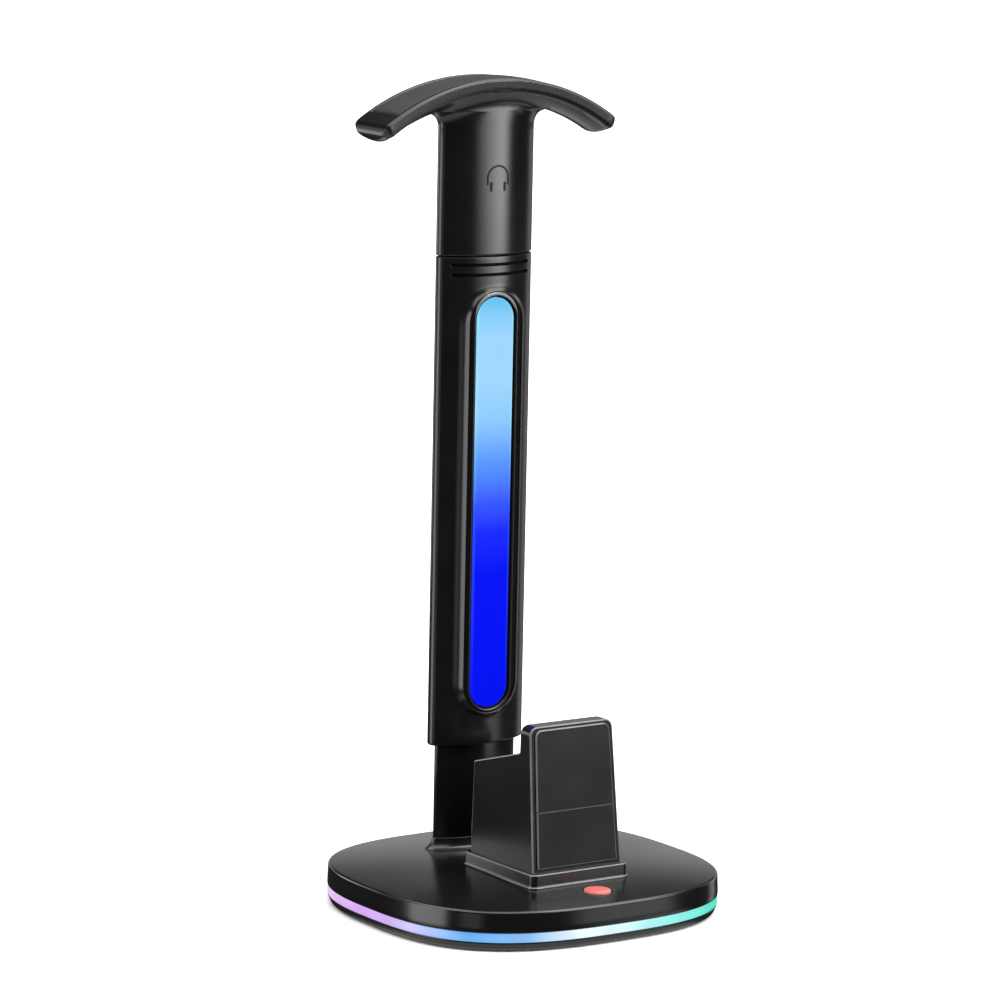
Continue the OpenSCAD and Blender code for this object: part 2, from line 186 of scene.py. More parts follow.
def circuit(name):
    q = Mat(name)
    v = q.node("ShaderNodeTexVoronoi", feature="DISTANCE_TO_EDGE", distance="MANHATTAN")
    v.inputs["Scale"].default_value = 260.0
    q.link(q.co, v.inputs["Vector"])
    track = q.remap(v.outputs["Distance"], 0.04, 0.09, 1.0, 0.0)
    base = q.ramp(q.noise(120.0), [(0.3, (0.006, 0.045, 0.016)), (0.7, (0.012, 0.085, 0.03))])
    q.link(q.mix(q.math("MULTIPLY", track, 0.6), base, (0.05, 0.22, 0.07, 1.0)), q.b.inputs["Base Color"])
    q.link(q.remap(track, 0.0, 1.0, 0.38, 0.26), q.b.inputs["Roughness"])
    q.link(q.bump(track, 0.3, 0.03), q.b.inputs["Normal"])
    return q.m


def rubber(name, dark, light, cells=0.0, depth=0.05):
    q = Mat(name)
    mott = q.noise(80.0, 4.0)
    fine = q.noise(3200.0, 2.0)
    q.link(q.ramp(mott, [(0.3, dark), (0.7, light)]), q.b.inputs["Base Color"])
    q.link(q.remap(fine, 0.3, 0.7, 0.55, 0.75), q.b.inputs["Roughness"])
    n = q.bump(fine, 0.35, 0.02)
    if cells:
        v = q.node("ShaderNodeTexVoronoi", feature="SMOOTH_F1")
        v.inputs["Scale"].default_value = cells
        q.link(q.co, v.inputs["Vector"])
        n = q.bump(v.outputs["Distance"], 0.35, depth, n)
    q.link(n, q.b.inputs["Normal"])
    q.put(Specular_IOR_Level=0.3)
    return q.m


def lit_ring(name):
    """Light strip: colour runs round the base, with soft hot spots in front of the lamps."""
    q = Mat(name)
    s = q.node("ShaderNodeSeparateXYZ")
    q.link(q.co, s.inputs[0])
    ang = q.math("ARCTAN2", s.outputs["X"], q.math("MULTIPLY", s.outputs["Y"], -1.0))
    fac = q.remap(ang, -math.pi, math.pi, 0.0, 1.0)
    stops = [(-180, "F2B6DA"), (-125, "E6C8F5"), (-98, "D4A4F0"), (-80, "D0AAF3"), (-68, "C2C6FA"), (-50, "5AAEF6"), (-32, "84BCF4"), (-16, "ECFAFF"),
             (0, "D8F6FB"), (16, "98EFEC"), (30, "78EEE0"), (44, "30D6BA"), (75, "46D68E"), (110, "F0D878"), (145, "F8AE9C")]
    col = q.ramp(fac, [((a + 180) / 360, lin(h)) for a, h in stops] + [(1.0, lin("F2B6DA"))])
    wave = q.math("SINE", q.math("MULTIPLY", ang, 24.0), 0.0)
    hot = q.remap(q.math("ADD", wave, q.math("MULTIPLY", q.noise(30.0), 0.5)), -1.0, 1.6, 0.93, 1.02)
    z = s.outputs["Z"]
    across = q.math("ABSOLUTE", q.math("SUBTRACT", z, 0.0060), 0.0)
    core = q.remap(across, 0.0004, 0.0019, 1.0, 0.0)
    col = q.mix(q.math("MULTIPLY", core, 0.06), col, (1.0, 1.0, 1.0, 1.0))
    q.link(q.mix(1.0, col, (0.04, 0.04, 0.04, 1.0), "MULTIPLY"), q.b.inputs["Base Color"])
    q.link(col, q.b.inputs["Emission Color"])
    q.link(hot, q.b.inputs["Emission Strength"])
    q.link(q.remap(q.noise(900.0), 0.3, 0.7, 0.3, 0.42), q.b.inputs["Roughness"])
    q.link(q.bump(q.noise(1500.0), 0.15, 0.01), q.b.inputs["Normal"])
    q.put(Specular_IOR_Level=0.3)
    return q.m


def lit_window(name):
    """Lit window: pale blue at the top to deep blue below, with a paler border."""
    q = Mat(name)
    s = q.node("ShaderNodeSeparateXYZ")
    q.link(q.co, s.inputs[0])
    fac = q.remap(s.outputs["Z"], 0.080, 0.2554, 0.0, 1.0)

    def stops(pairs):
        return [((z - 80.0) / 175.4, lin(h)) for z, h in pairs]

    core = q.ramp(fac, stops([(80, "0010F2"), (138, "0412F8"), (156, "1A2CFF"), (169, "3A5CFF"), (186, "5C9BFF"), (203, "8FCBFF"), (222, "A0D8FF"), (238, "A0D8FF"), (248, "84CDF8"), (255.4, "5FBCEC")]))
    side = q.ramp(fac, stops([(80, "0818F4"), (165, "3458FF"), (186, "70B4FF"), (206, "A8E6FF"), (246, "9CE6FC"), (255.4, "64C2EC")]))
    rim = q.node("ShaderNodeAttribute", attribute_name="rim")
    col = q.mix(q.math("MULTIPLY", rim.outputs["Fac"], 0.7), core, side)
    haze = q.remap(q.noise(45.0, 3.0), 0.3, 0.7, 0.97, 1.02)
    q.link(q.mix(1.0, col, (0.006, 0.006, 0.006, 1.0), "MULTIPLY"), q.b.inputs["Base Color"])
    q.link(col, q.b.inputs["Emission Color"])
    q.link(haze, q.b.inputs["Emission Strength"])
    q.link(q.remap(q.noise(700.0), 0.3, 0.7, 0.38, 0.5), q.b.inputs["Roughness"])
    q.link(q.bump(q.noise(1800.0), 0.1, 0.008), q.b.inputs["Normal"])
    q.put(Specular_IOR_Level=0.02)
    return q.m


def coral(name):
    """Coral button with a faint painted glow; paler towards its lower edge and its front side, a painted highlight.
    """
    q = Mat(name)
    s = q.node("ShaderNodeSeparateXYZ")
    q.link(q.co, s.inputs[0])
    # painted highlight: paler on the lower rim and on the front side
    low = q.remap(s.outputs["Z"], 0.0183, 0.0188, 1.0, 0.0)
    front = q.remap(s.outputs["Y"], -0.0572, -0.0604, 0.0, 0.45)
    pale = q.math("MAXIMUM", q.math("MULTIPLY", low, 0.7), front)
    mott = q.ramp(q.noise(350.0, 4.0), [(0.3, lin("E46A68")), (0.7, lin("EC7774"))])
    col = q.mix(pale, mott, lin("FAB0AA"))
    q.link(q.mix(1.0, col, (0.50, 0.50, 0.50, 1.0), "MULTIPLY"), q.b.inputs["Base Color"])
    # painted glow: the button gives off a faint light of its own colour
    q.link(col, q.b.inputs["Emission Color"])
    q.put(Emission_Strength=0.16, Specular_IOR_Level=0.25)
    q.link(q.remap(q.noise(1500.0), 0.3, 0.7, 0.34, 0.46), q.b.inputs["Roughness"])
    q.link(q.bump(q.noise(2400.0), 0.2, 0.012), q.b.inputs["Normal"])
    return q.m


K = {
    "satin_black": plastic("satin_black_moulded", (0.0036, 0.0036, 0.0039), (0.0056, 0.0056, 0.0060), (0.19, 0.23), 0.5, strength=0.09),
    "base_black": plastic("base_black_satin", (0.0030, 0.0030, 0.0033), (0.0048, 0.0048, 0.0051), (0.18, 0.22), 0.5, depth=0.006, strength=0.09),
    "plate_black": plastic("plate_black_satin", (0.0080, 0.0080, 0.0085), (0.0110, 0.0110, 0.0115), (0.17, 0.21), 0.5, depth=0.006, strength=0.06),
    "rim_black": plastic("rim_black_gloss", (0.0030, 0.0030, 0.0033), (0.0048, 0.0048, 0.0051), (0.15, 0.19), 0.5, depth=0.004),
    # edge_black: a paler grey for rounded edges, a painted highlight standing in for the lamps' glint on them
    "edge_black": plastic("edge_painted_highlight", (0.105, 0.105, 0.108), (0.140, 0.140, 0.144), (0.18, 0.24), 0.5, depth=0.004),
    # gap_dark: near black, a painted shade for seams, grooves and gaps
    "gap_dark": plastic("gap_painted_shade", (0.0010, 0.0010, 0.0011), (0.0018, 0.0018, 0.0019), (0.55, 0.65), 0.08, depth=0.01),
    # icon_dark: the sign's dark strokes, partly their own colour and partly a painted shade of engraved lines
    "icon_dark": plastic("icon_ink_and_painted_shade", (0.0030, 0.0030, 0.0032), (0.0050, 0.0050, 0.0053), (0.50, 0.60), 0.3, depth=0.01),
    "pad_silicone": rubber("pad_silicone_soft", (0.011, 0.011, 0.012), (0.019, 0.019, 0.020), 900.0, 0.05),
    "feet_rubber": rubber("feet_rubber_matte", (0.008, 0.008, 0.008), (0.015, 0.015, 0.015)),
    "wire": rubber("wire_insulation", (0.012, 0.012, 0.013), (0.02, 0.02, 0.022)),
    "steel": metal("steel_plated", (0.40, 0.41, 0.43), (0.60, 0.61, 0.63), (0.24, 0.36)),
    "ballast": metal("ballast_iron", (0.10, 0.10, 0.105), (0.20, 0.20, 0.21), (0.5, 0.7), (300.0, 300.0, 300.0)),
    "contact_gold": metal("contact_gold_plate", (0.66, 0.44, 0.14), (0.80, 0.58, 0.22), (0.18, 0.28)),
    "circuit_green": circuit("circuit_board_green"),
    "switch_black": plastic("switch_black_matte", (0.008, 0.008, 0.008), (0.013, 0.013, 0.013), (0.45, 0.55), 0.3),
    "led_white": plastic("led_board_white", (0.55, 0.55, 0.52), (0.72, 0.72, 0.69), (0.42, 0.55), 0.4),
    "ring_light": lit_ring("ring_light_strip"),
    "window_light": lit_window("window_light_panel"),
    "coral": coral("coral_button_plastic"),
}


# ---------------------------------------------------------------- mesh helpers
def build(name, V, F, mat, body=None, nodes=(), slot=None, sharp=38.0, normals=None, merge=True):
    """A closed, smooth-shaded mesh object from points in mm; edges over the sharp angle stay crisp."""
    me = bpy.data.meshes.new(name)
    me.from_pydata((np.asarray(V, float) * 0.001).tolist(), [], [tuple(int(i) for i in f) for f in F])
    bm = bmesh.new()
    bm.from_mesh(me)
    if merge:
        bmesh.ops.remove_doubles(bm, verts=bm.verts, dist=1e-6)
        bmesh.ops.dissolve_degenerate(bm, dist=1e-7, edges=bm.edges)
    if normals is None:
        bmesh.ops.recalc_face_normals(bm, faces=bm.faces)
        crisp(bm, sharp)
    for f in bm.faces:
        f.smooth = True
    bm.to_mesh(me)
    bm.free()
    if normals is not None:
        me.normals_split_custom_set_from_vertices([tuple(n) for n in normals])
    ob = bpy.data.objects.new(name, me)
    scene.collection.objects.link(ob)
    if mat is not None:
        me.materials.append(mat)
    return settle(ob, body, nodes) if body else ob


def crisp(bm, sharp):
    lim = math.radians(sharp)
    for e in bm.edges:
        e.smooth = not (len(e.link_faces) == 2 and e.calc_face_angle(0.0) > lim)


def settle(ob, body, nodes=()):
    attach(ob, body)
    if nodes:
        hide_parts(*nodes)
    return ob


def grid_faces(R, N, close_r=False, close_n=True):
    F = []
    for i in range(R if close_r else R - 1):
        for j in range(N if close_n else N - 1):
            a, b = i * N + j, i * N + (j + 1) % N
            k = (i + 1) % R
            F.append((a, b, k * N + (j + 1) % N, k * N + j))
    return F


def loft(rings, cap0=True, cap1=True, torus=False):
    """Skin through rings of equal length; open ends are closed with a fan."""
    R, N = len(rings), len(rings[0])
    V = np.concatenate(rings)
    F = grid_faces(R, N, torus)
    if not torus:
        for cap, i in ((cap0, 0), (cap1, R - 1)):
            if cap:
                V = np.vstack([V, rings[i].mean(0)])
                c = len(V) - 1
                F += [(c, i * N + j, i * N + (j + 1) % N) for j in range(N)]
    return V, F


def tint(ob, mat, test):
    """Gives a further material to the faces that pass the test on their centre in mm and their normal."""
    ob.data.materials.append(mat)
    k = len(ob.data.materials) - 1
    for f in ob.data.polygons:
        if test(f.center * 1000, f.normal):
            f.material_index = k


def lathe(profile, cx, cy, n=96):
    a = np.linspace(0, 2 * np.pi, n, endpoint=False)
    return [np.stack([cx + r * np.cos(a), cy + r * np.sin(a), np.full(n, z)], 1) for r, z in profile]


def cut(ob, *cutters):
    """Takes the cutters away from the object for good."""
    for c in cutters:
        m = ob.modifiers.new("cut", "BOOLEAN")
        m.operation, m.solver, m.object = "DIFFERENCE", "EXACT", c
    dg = bpy.context.evaluated_depsgraph_get()
    me = bpy.data.meshes.new_from_object(ob.evaluated_get(dg))
    ob.modifiers.clear()
    old = ob.data
    ob.data = me
    bpy.data.meshes.remove(old)
    for c in cutters:
        d = c.data
        bpy.data.objects.remove(c)
        bpy.data.meshes.remove(d)
    bm = bmesh.new()
    bm.from_mesh(me)
    bmesh.ops.dissolve_degenerate(bm, dist=1e-6, edges=bm.edges)
    crisp(bm, 38.0)
    for f in bm.faces:
        f.smooth = True
    bm.to_mesh(me)
    bm.free()
    return ob


def arc(cx, cy, r, a0, a1, n):
    """Points of an arc, angles in degrees, as a list of pairs."""
    return [(cx + r * math.cos(math.radians(a0 + (a1 - a0) * k / n)), cy + r * math.sin(math.radians(a0 + (a1 - a0) * k / n))) for k in range(n + 1)]


# ---------------------------------------------------------------- outlines
def base_outline(n):
    t = np.linspace(0, 2 * np.pi, 16385)
    c, s = np.cos(t), np.sin(t)
    x = HA * np.sign(c) * np.abs(c) ** (2 / SQ)
    y = HB * np.sign(s) * np.abs(s) ** (2 / SQ)
    d = np.concatenate([[0], np.cumsum(np.hypot(np.diff(x), np.diff(y)))])
    u = np.linspace(0, d[-1], n, endpoint=False)
    return np.stack([np.interp(u, d, x), np.interp(u, d, y)], 1)


BO = base_outline(288)


def base_ring(i, z):
    return np.stack([BO[:, 0] * (HA - i) / HA, BO[:, 1] * (HB - i) / HB, np.full(len(BO), z)], 1)


def crown(i):
    return 17.0 + 2.4 * (1.0 - max(0.0, 1.0 - i / 74.65) ** 2.5)


def lens_parts(hw, f, b, r):
    e = hw - r
    rf = (e * e + f * f - r * r) / (2 * (f - r))
    rb = (e * e + b * b - r * r) / (2 * (b - r))
    return e, rf, rb, math.atan2(rf - f, e), math.atan2(rb - b, e)


def lens_ring(hw, f, b, r, z, m=(34, 12)):
    e, rf, rb, af, ab = lens_parts(hw, f, b, r)

    def seg(cx, cy, rr, a0, a1, k):
        a = a0 + (a1 - a0) * np.arange(k) / k
        return np.stack([cx + rr * np.cos(a), cy + rr * np.sin(a)], 1)

    P = np.concatenate([seg(0, rf - f, rf, math.pi + af, 2 * math.pi - af, m[0]), seg(e, 0, r, -af, ab, m[1]),
                        seg(0, b - rb, rb, ab, math.pi - ab, m[0]), seg(-e, 0, r, math.pi - ab, math.pi + af, m[1])])
    return np.stack([P[:, 0], P[:, 1] + COL_Y, np.full(len(P), z)], 1)


def round_rect_ring(x0, y0, x1, y1, r, i, z, k=8):
    x0, y0, x1, y1, r = x0 + i, y0 + i, x1 - i, y1 - i, max(r - i, 0.05)
    P = arc(x1 - r, y0 + r, r, -90, 0, k) + arc(x1 - r, y1 - r, r, 0, 90, k) + arc(x0 + r, y1 - r, r, 90, 180, k) + arc(x0 + r, y0 + r, r, 180, 270, k)
    return np.array([(x, y, z) for x, y in P])


E_C, RF_C, RB_C, AF_C, AB_C = lens_parts(*COL)


def front_y(x):
    """Front face of the column at x."""
    return COL_Y + (RF_C - COL[1]) - np.sqrt(np.maximum(RF_C ** 2 - np.asarray(x, float) ** 2, 0))


# ---------------------------------------------------------------- base
def make_base():
    wall = [(0.45, 7.96), (0.22, 8.02), (0.06, 8.2), (0.0, 8.5), (0.06, 11.0), (0.16, 13.6), (0.25, 15.3)]
    fil = [(x, y) for x, y in arc(1.40, crown(1.4) - 1.15, 1.15, 180, 90, 8)]
    face = [(i, crown(i)) for i in (1.9, 2.6, 3.6, 5, 7, 9.5, 12.5, 16, 20, 24.5, 29.5, 35, 41, 47, 53, 59, 65, 70)]
    inner = [(2.5, 7.96), (2.6, 11.0), (2.7, 14.2), (3.2, 14.6), (20.0, 14.6), (50.0, 14.6), (70.0, 14.6)]
    rings = [base_ring(i, z) for i, z in reversed(wall + fil + face)] + [base_ring(i, z) for i, z in inner]
    ob = build("base_cover", *loft(rings), K["base_black"])
    hole = build("c0", *loft(lathe([(5.95, 12.0), (5.95, 17.9), (6.02, 18.12), (6.3, 18.3), (6.6, 22.0)], 0, -54.9, 64)), None)
    slot_rings = []
    for y, g in ((60.0, 0.0), (HB - 1.15, 0.0), (HB - 0.55, 0.12), (HB + 0.4, 0.85), (HB + 3.0, 0.85)):
        P = arc(2.95, 0, 1.95 + g, -90, 90, 12) + arc(-2.95, 0, 1.95 + g, 90, 270, 12)
        slot_rings.append(np.array([(x, y, 11.4 + z) for x, z in P]))
    slit = build("c1", *loft(slot_rings), None)
    cut(ob, hole, slit)
    settle(ob, "stand", ["base_top_cover"])

    prof = [(0.55, 4.14), (0.30, 4.22), (0.18, 4.5), (0.12, 5.2), (0.10, 6.0), (0.12, 6.8), (0.18, 7.5), (0.30, 7.78), (0.55, 7.86), (4.0, 7.86), (4.0, 4.14)]
    build("light_strip", *loft([base_ring(i, z) for i, z in prof], torus=True), K["ring_light"], "stand", ["base_light_ring"], "ring_light")

    prof = [(70.0, 0.8), (30.0, 0.8), (8.0, 0.8), (2.2, 0.8), (1.75, 0.86), (1.4, 1.05), (1.15, 1.4), (0.85, 2.1), (0.55, 2.9), (0.33, 3.5), (0.25, 3.85), (0.3, 4.02),
            (0.5, 4.08), (4.6, 4.08), (4.6, 3.0), (8.0, 3.0), (8.0, 8.2), (9.6, 8.2), (9.6, 3.0), (30.0, 3.0), (70.0, 3.0)]
    ob = build("base_tray", *loft([base_ring(i, z) for i, z in prof]), K["satin_black"])
    tools = []
    for sx in (-1, 1):
        for sy in (-1, 1):
            tools.append(build("c", *loft(lathe([(8.4, 0.0), (8.4, 0.95), (8.12, 1.1), (8.12, 1.62)], sx * 48, sy * 45, 64)), None))
            tools.append(build("c", *loft(lathe([(3.35, 0.0), (3.35, 0.8), (3.0, 1.1), (3.0, 2.0), (1.7, 2.05), (1.7, 5.0)], sx * 56, sy * 22, 40)), None))
    cut(ob, *tools)
    settle(ob, "stand", ["base_bottom_shell"])

    zt = 19.18
    dome = [(r, zt - (40 - math.sqrt(1600 - r * r))) for r in (5.1, 4.6, 4.0, 3.3, 2.5, 1.6, 0.8)]
    prof = [(1.0, 13.2), (6.9, 13.2), (7.1, 13.3), (7.1, 14.1), (7.0, 14.2), (5.7, 14.2), (5.6, 14.4), (5.6, 16.5), (5.6, 18.1)] + \
        [(x, z) for x, z in arc(5.1, dome[0][1] - 0.5, 0.5, 0, 80, 6)] + dome
    build("press_button", *loft(lathe(prof, 0, -54.9, 96)), K["coral"], "button", ["mode_button"], "coral")

    tongue = []
    for y, g in ((66.4, 0.0), (70.6, 0.0), (70.9, -0.08), (71.0, -0.2)):
        r = np.array([(x, y, 11.4 + z) for x, z in [(c[0], c[1]) for c in
                      arc(3.05 + g, 0.2 + g * 0.4, 0.12, 0, 90, 3) + arc(-3.05 - g, 0.2 + g * 0.4, 0.12, 90, 180, 3) +
                      arc(-3.05 - g, -0.2 - g * 0.4, 0.12, 180, 270, 3) + arc(3.05 + g, -0.2 - g * 0.4, 0.12, 270, 360, 3)]])
        tongue.append(r)
    build("inlet_tongue", *loft(tongue), K["switch_black"], "stand", (), "switch_black")


# ---------------------------------------------------------------- cradle
def bevelled(node, name, mat, width, pick, segs=4, body="stand", corner=None):
    """A copy of a flat-sided part with rounded edges; pick gives each sharp edge's share of the width.
    corner gives a test and a radius for a few edges that are rounded first."""
    me = frame["nodes"][node].data.copy()
    me.name = name
    bm = bmesh.new()
    bm.from_mesh(me)
    bmesh.ops.remove_doubles(bm, verts=bm.verts, dist=2e-6)
    bmesh.ops.dissolve_limit(bm, angle_limit=math.radians(0.6), use_dissolve_boundaries=False, verts=bm.verts, edges=bm.edges)
    bmesh.ops.recalc_face_normals(bm, faces=bm.faces)
    if corner:
        big = [e for e in bm.edges if corner[0]((e.verts[0].co + e.verts[1].co) * 500, (e.verts[1].co - e.verts[0].co).normalized())]
        bmesh.ops.bevel(bm, geom=big, offset=corner[1] * 0.001, offset_type="OFFSET", segments=9, profile=0.5, affect="EDGES", clamp_overlap=False)
    lay = bm.edges.layers.float.get("bevel_weight_edge") or bm.edges.layers.float.new("bevel_weight_edge")
    for e in bm.edges:
        w = 0.0
        if len(e.link_faces) == 2 and e.calc_face_angle(0.0) > math.radians(25):
            a, b = e.verts[0].co * 1000, e.verts[1].co * 1000
            w = pick((a + b) / 2, (b - a).normalized(), e.calc_face_angle_signed(0.0))
        e[lay] = w
        e.smooth = w > 0 or len(e.link_faces) != 2 or e.calc_face_angle(0.0) < math.radians(25)
    for f in bm.faces:
        f.smooth = True
    bm.to_mesh(me)
    bm.free()
    me.materials.clear()
    me.materials.append(mat)
    # second slot: the paler edge material, a painted highlight
    me.materials.append(K["edge_black"])
    ob = bpy.data.objects.new(name, me)
    scene.collection.objects.link(ob)
    m = ob.modifiers.new("round", "BEVEL")
    m.width, m.segments, m.limit_method, m.use_clamp_overlap = width * 0.001, segs, "WEIGHT", True
    m.miter_outer = "MITER_ARC"
    # the rounded faces take the painted edge highlight
    m.material = 1
    me = bpy.data.meshes.new_from_object(ob.evaluated_get(bpy.context.evaluated_depsgraph_get()))
    ob.modifiers.clear()
    ob.data = me
    flat = [f.material_index == 0 and f.area > 6e-6 for f in me.polygons]
    main, rest = np.zeros((len(me.vertices), 3)), np.zeros((len(me.vertices), 3))
    for f, big in zip(me.polygons, flat):
        for v in f.vertices:
            (main if big else rest)[v] += np.array(f.normal) * f.area
    nv = np.where((np.abs(main).sum(1) > 0)[:, None], main, rest)
    nv /= np.maximum(np.linalg.norm(nv, axis=1), 1e-12)[:, None]
    ln = [None] * len(me.loops)
    for f, big in zip(me.polygons, flat):
        for i in f.loop_indices:
            ln[i] = tuple(f.normal) if big else tuple(nv[me.loops[i].vertex_index])
    me.normals_split_custom_set(ln)
    # the painted edge highlight is kept only on edges facing left, front or up
    for f in me.polygons:
        if f.material_index == 1 and (f.normal.x > 0.2 or f.normal.z < -0.2):
            f.material_index = 0
    return settle(ob, body, [node])


def make_cradle():
    bead = [(x, z) for x, z in arc(0.0, 18.95, 0.55, 180, 92, 6)]
    prof = [(-0.5, 18.2), (-0.55, 18.5)] + bead + [(0.02, 19.56), (0.06, 20.4), (0.14, 22.6), (0.17, 23.7)] + \
        [(x, z) for x, z in arc(0.80, 24.0, 0.6, 178, 90, 6)] + [(1.8, 24.6), (4.0, 24.6)]
    ob = build("cradle_plinth", *loft([round_rect_ring(-24.4, -43.0, 24.4, 9.2, 3.0, i, z, 9) for i, z in prof]), K["satin_black"], "stand", ["dock_plinth"], "satin_black", sharp=50)
    # painted highlight: the top fillet and the foot bead take the paler edge material
    tint(ob, K["edge_black"], lambda c, n: 0.3 < n.z < 0.97 and (c.z > 23.9 or 18.8 < c.z < 19.54))

    def lower(p, d, s):
        if abs(d.z) > 0.9:
            return 1.0 if abs(p.x) > 20.5 else 0.3
        return 0.0

    bevelled("dock_lower_body", "cradle_lower", K["satin_black"], 0.6, lower)

    def upper(p, d, s):
        if abs(d.z) > 0.9:
            return 1.0 if abs(p.x) > 19.5 else 0.55
        if p.z < 50.2:
            return 0.0
        if p.z < 62.0:
            return 0.3
        return 0.9

    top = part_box("dock_upper_body")[1][2] * 1000

    def wall(p, d):
        return abs(d.y) > 0.9 and abs(p.x) > 15 and p.z > top - 0.3

    bevelled("dock_upper_body", "cradle_upper", K["satin_black"], 0.6, upper, corner=(wall, 3.6))

    def plate(p, d, s):
        return 1.0 if abs(p.z - 49.6) > 0.6 else 0.2

    bevelled("dock_front_plate_lower", "cradle_plate_lower", K["plate_black"], 0.5, plate)
    bevelled("dock_front_plate_upper", "cradle_plate_upper", K["plate_black"], 0.5, plate)


# ---------------------------------------------------------------- column
class Sheet:
    """A face with a back face beneath it; open edges are joined to make a closed shell."""

    def __init__(self):
        self.key, self.P, self.Q, self.F = {}, [], [], []

    def v(self, p, q):
        k = tuple(np.round(p, 4))
        if k not in self.key:
            self.key[k] = len(self.P)
            self.P.append(p)
            self.Q.append(q)
        return self.key[k]

    def face(self, *ids):
        u = []
        for i in ids:
            if i not in u:
                u.append(i)
        if len(u) > 2:
            self.F.append(tuple(u))

    def closed(self):
        n = len(self.P)
        V = np.array(self.P + self.Q)
        seen = {}
        for f in self.F:
            for a, b in zip(f, f[1:] + f[:1]):
                seen[(a, b)] = True
        F = list(self.F) + [tuple(i + n for i in reversed(f)) for f in self.F]
        F += [(b, a, a + n, b + n) for a, b in seen if (b, a) not in seen]
        return V, F


def stadium_stations(hw, lo, hi, ns, phis_top, phis_bot):
    """Points and outward directions round a stadium, counter-clockwise from the right side's foot."""
    z0, z1 = lo + hw, hi - hw
    P, D = [], []
    for k in range(ns):
        P.append((hw, z0 + (z1 - z0) * k / ns))
        D.append((1.0, 0.0))
    for a in phis_top[:-1]:
        P.append((hw * math.cos(a), z1 + hw * math.sin(a)))
        D.append((math.cos(a), math.sin(a)))
    for k in range(ns):
        P.append((-hw, z1 + (z0 - z1) * k / ns))
        D.append((-1.0, 0.0))
    for a in phis_bot[:-1]:
        P.append((hw * math.cos(a), z0 + hw * math.sin(a)))
        D.append((math.cos(a), math.sin(a)))
    return np.array(P), np.array(D)


X0, Z0, Z1 = 17.7, 73.0, 261.6
_zt, _zb = WIN_HI + RIM_END - RIM_HW, WIN_LO - RIM_END + RIM_HW
_ct, _cb = math.atan2(Z1 - _zt, X0), math.atan2(_zb - Z0, X0)
PH_TOP = list(np.linspace(0, _ct, 11)) + list(np.linspace(_ct, math.pi - _ct, 33))[1:] + list(np.linspace(math.pi - _ct, math.pi, 11))[1:]
PH_BOT = list(np.linspace(math.pi, math.pi + _cb, 11)) + list(np.linspace(math.pi + _cb, 2 * math.pi - _cb, 33))[1:] + list(np.linspace(2 * math.pi - _cb, 2 * math.pi, 11))[1:]
NS = 34
GROOVES = (SPLIT - 3.8, SPLIT - 8.0)


def sunk(x, z, lo, hi):
    """How far the column's face lies inside its plain outline: end roundings and the two grooves."""
    d = 0.0
    if z < lo + 1.0:
        d = max(d, 1.0 - math.sqrt(max(0.0, 1.0 - (1.0 - (z - lo)) ** 2)))
    if z > hi - 0.55:
        d = max(d, 0.55 - math.sqrt(max(0.0, 0.55 ** 2 - (0.55 - (hi - z)) ** 2)))
    for g in GROOVES:
        if abs(z - g) < 1.0:
            q = math.hypot(max(abs(x) - 18.8, 0.0), z - g) - 0.58
            s = min(max((q + 0.14) / 0.24, 0.0), 1.0)
            d = max(d, 1.35 * (1.0 - s * s * (3 - 2 * s)))
    return d


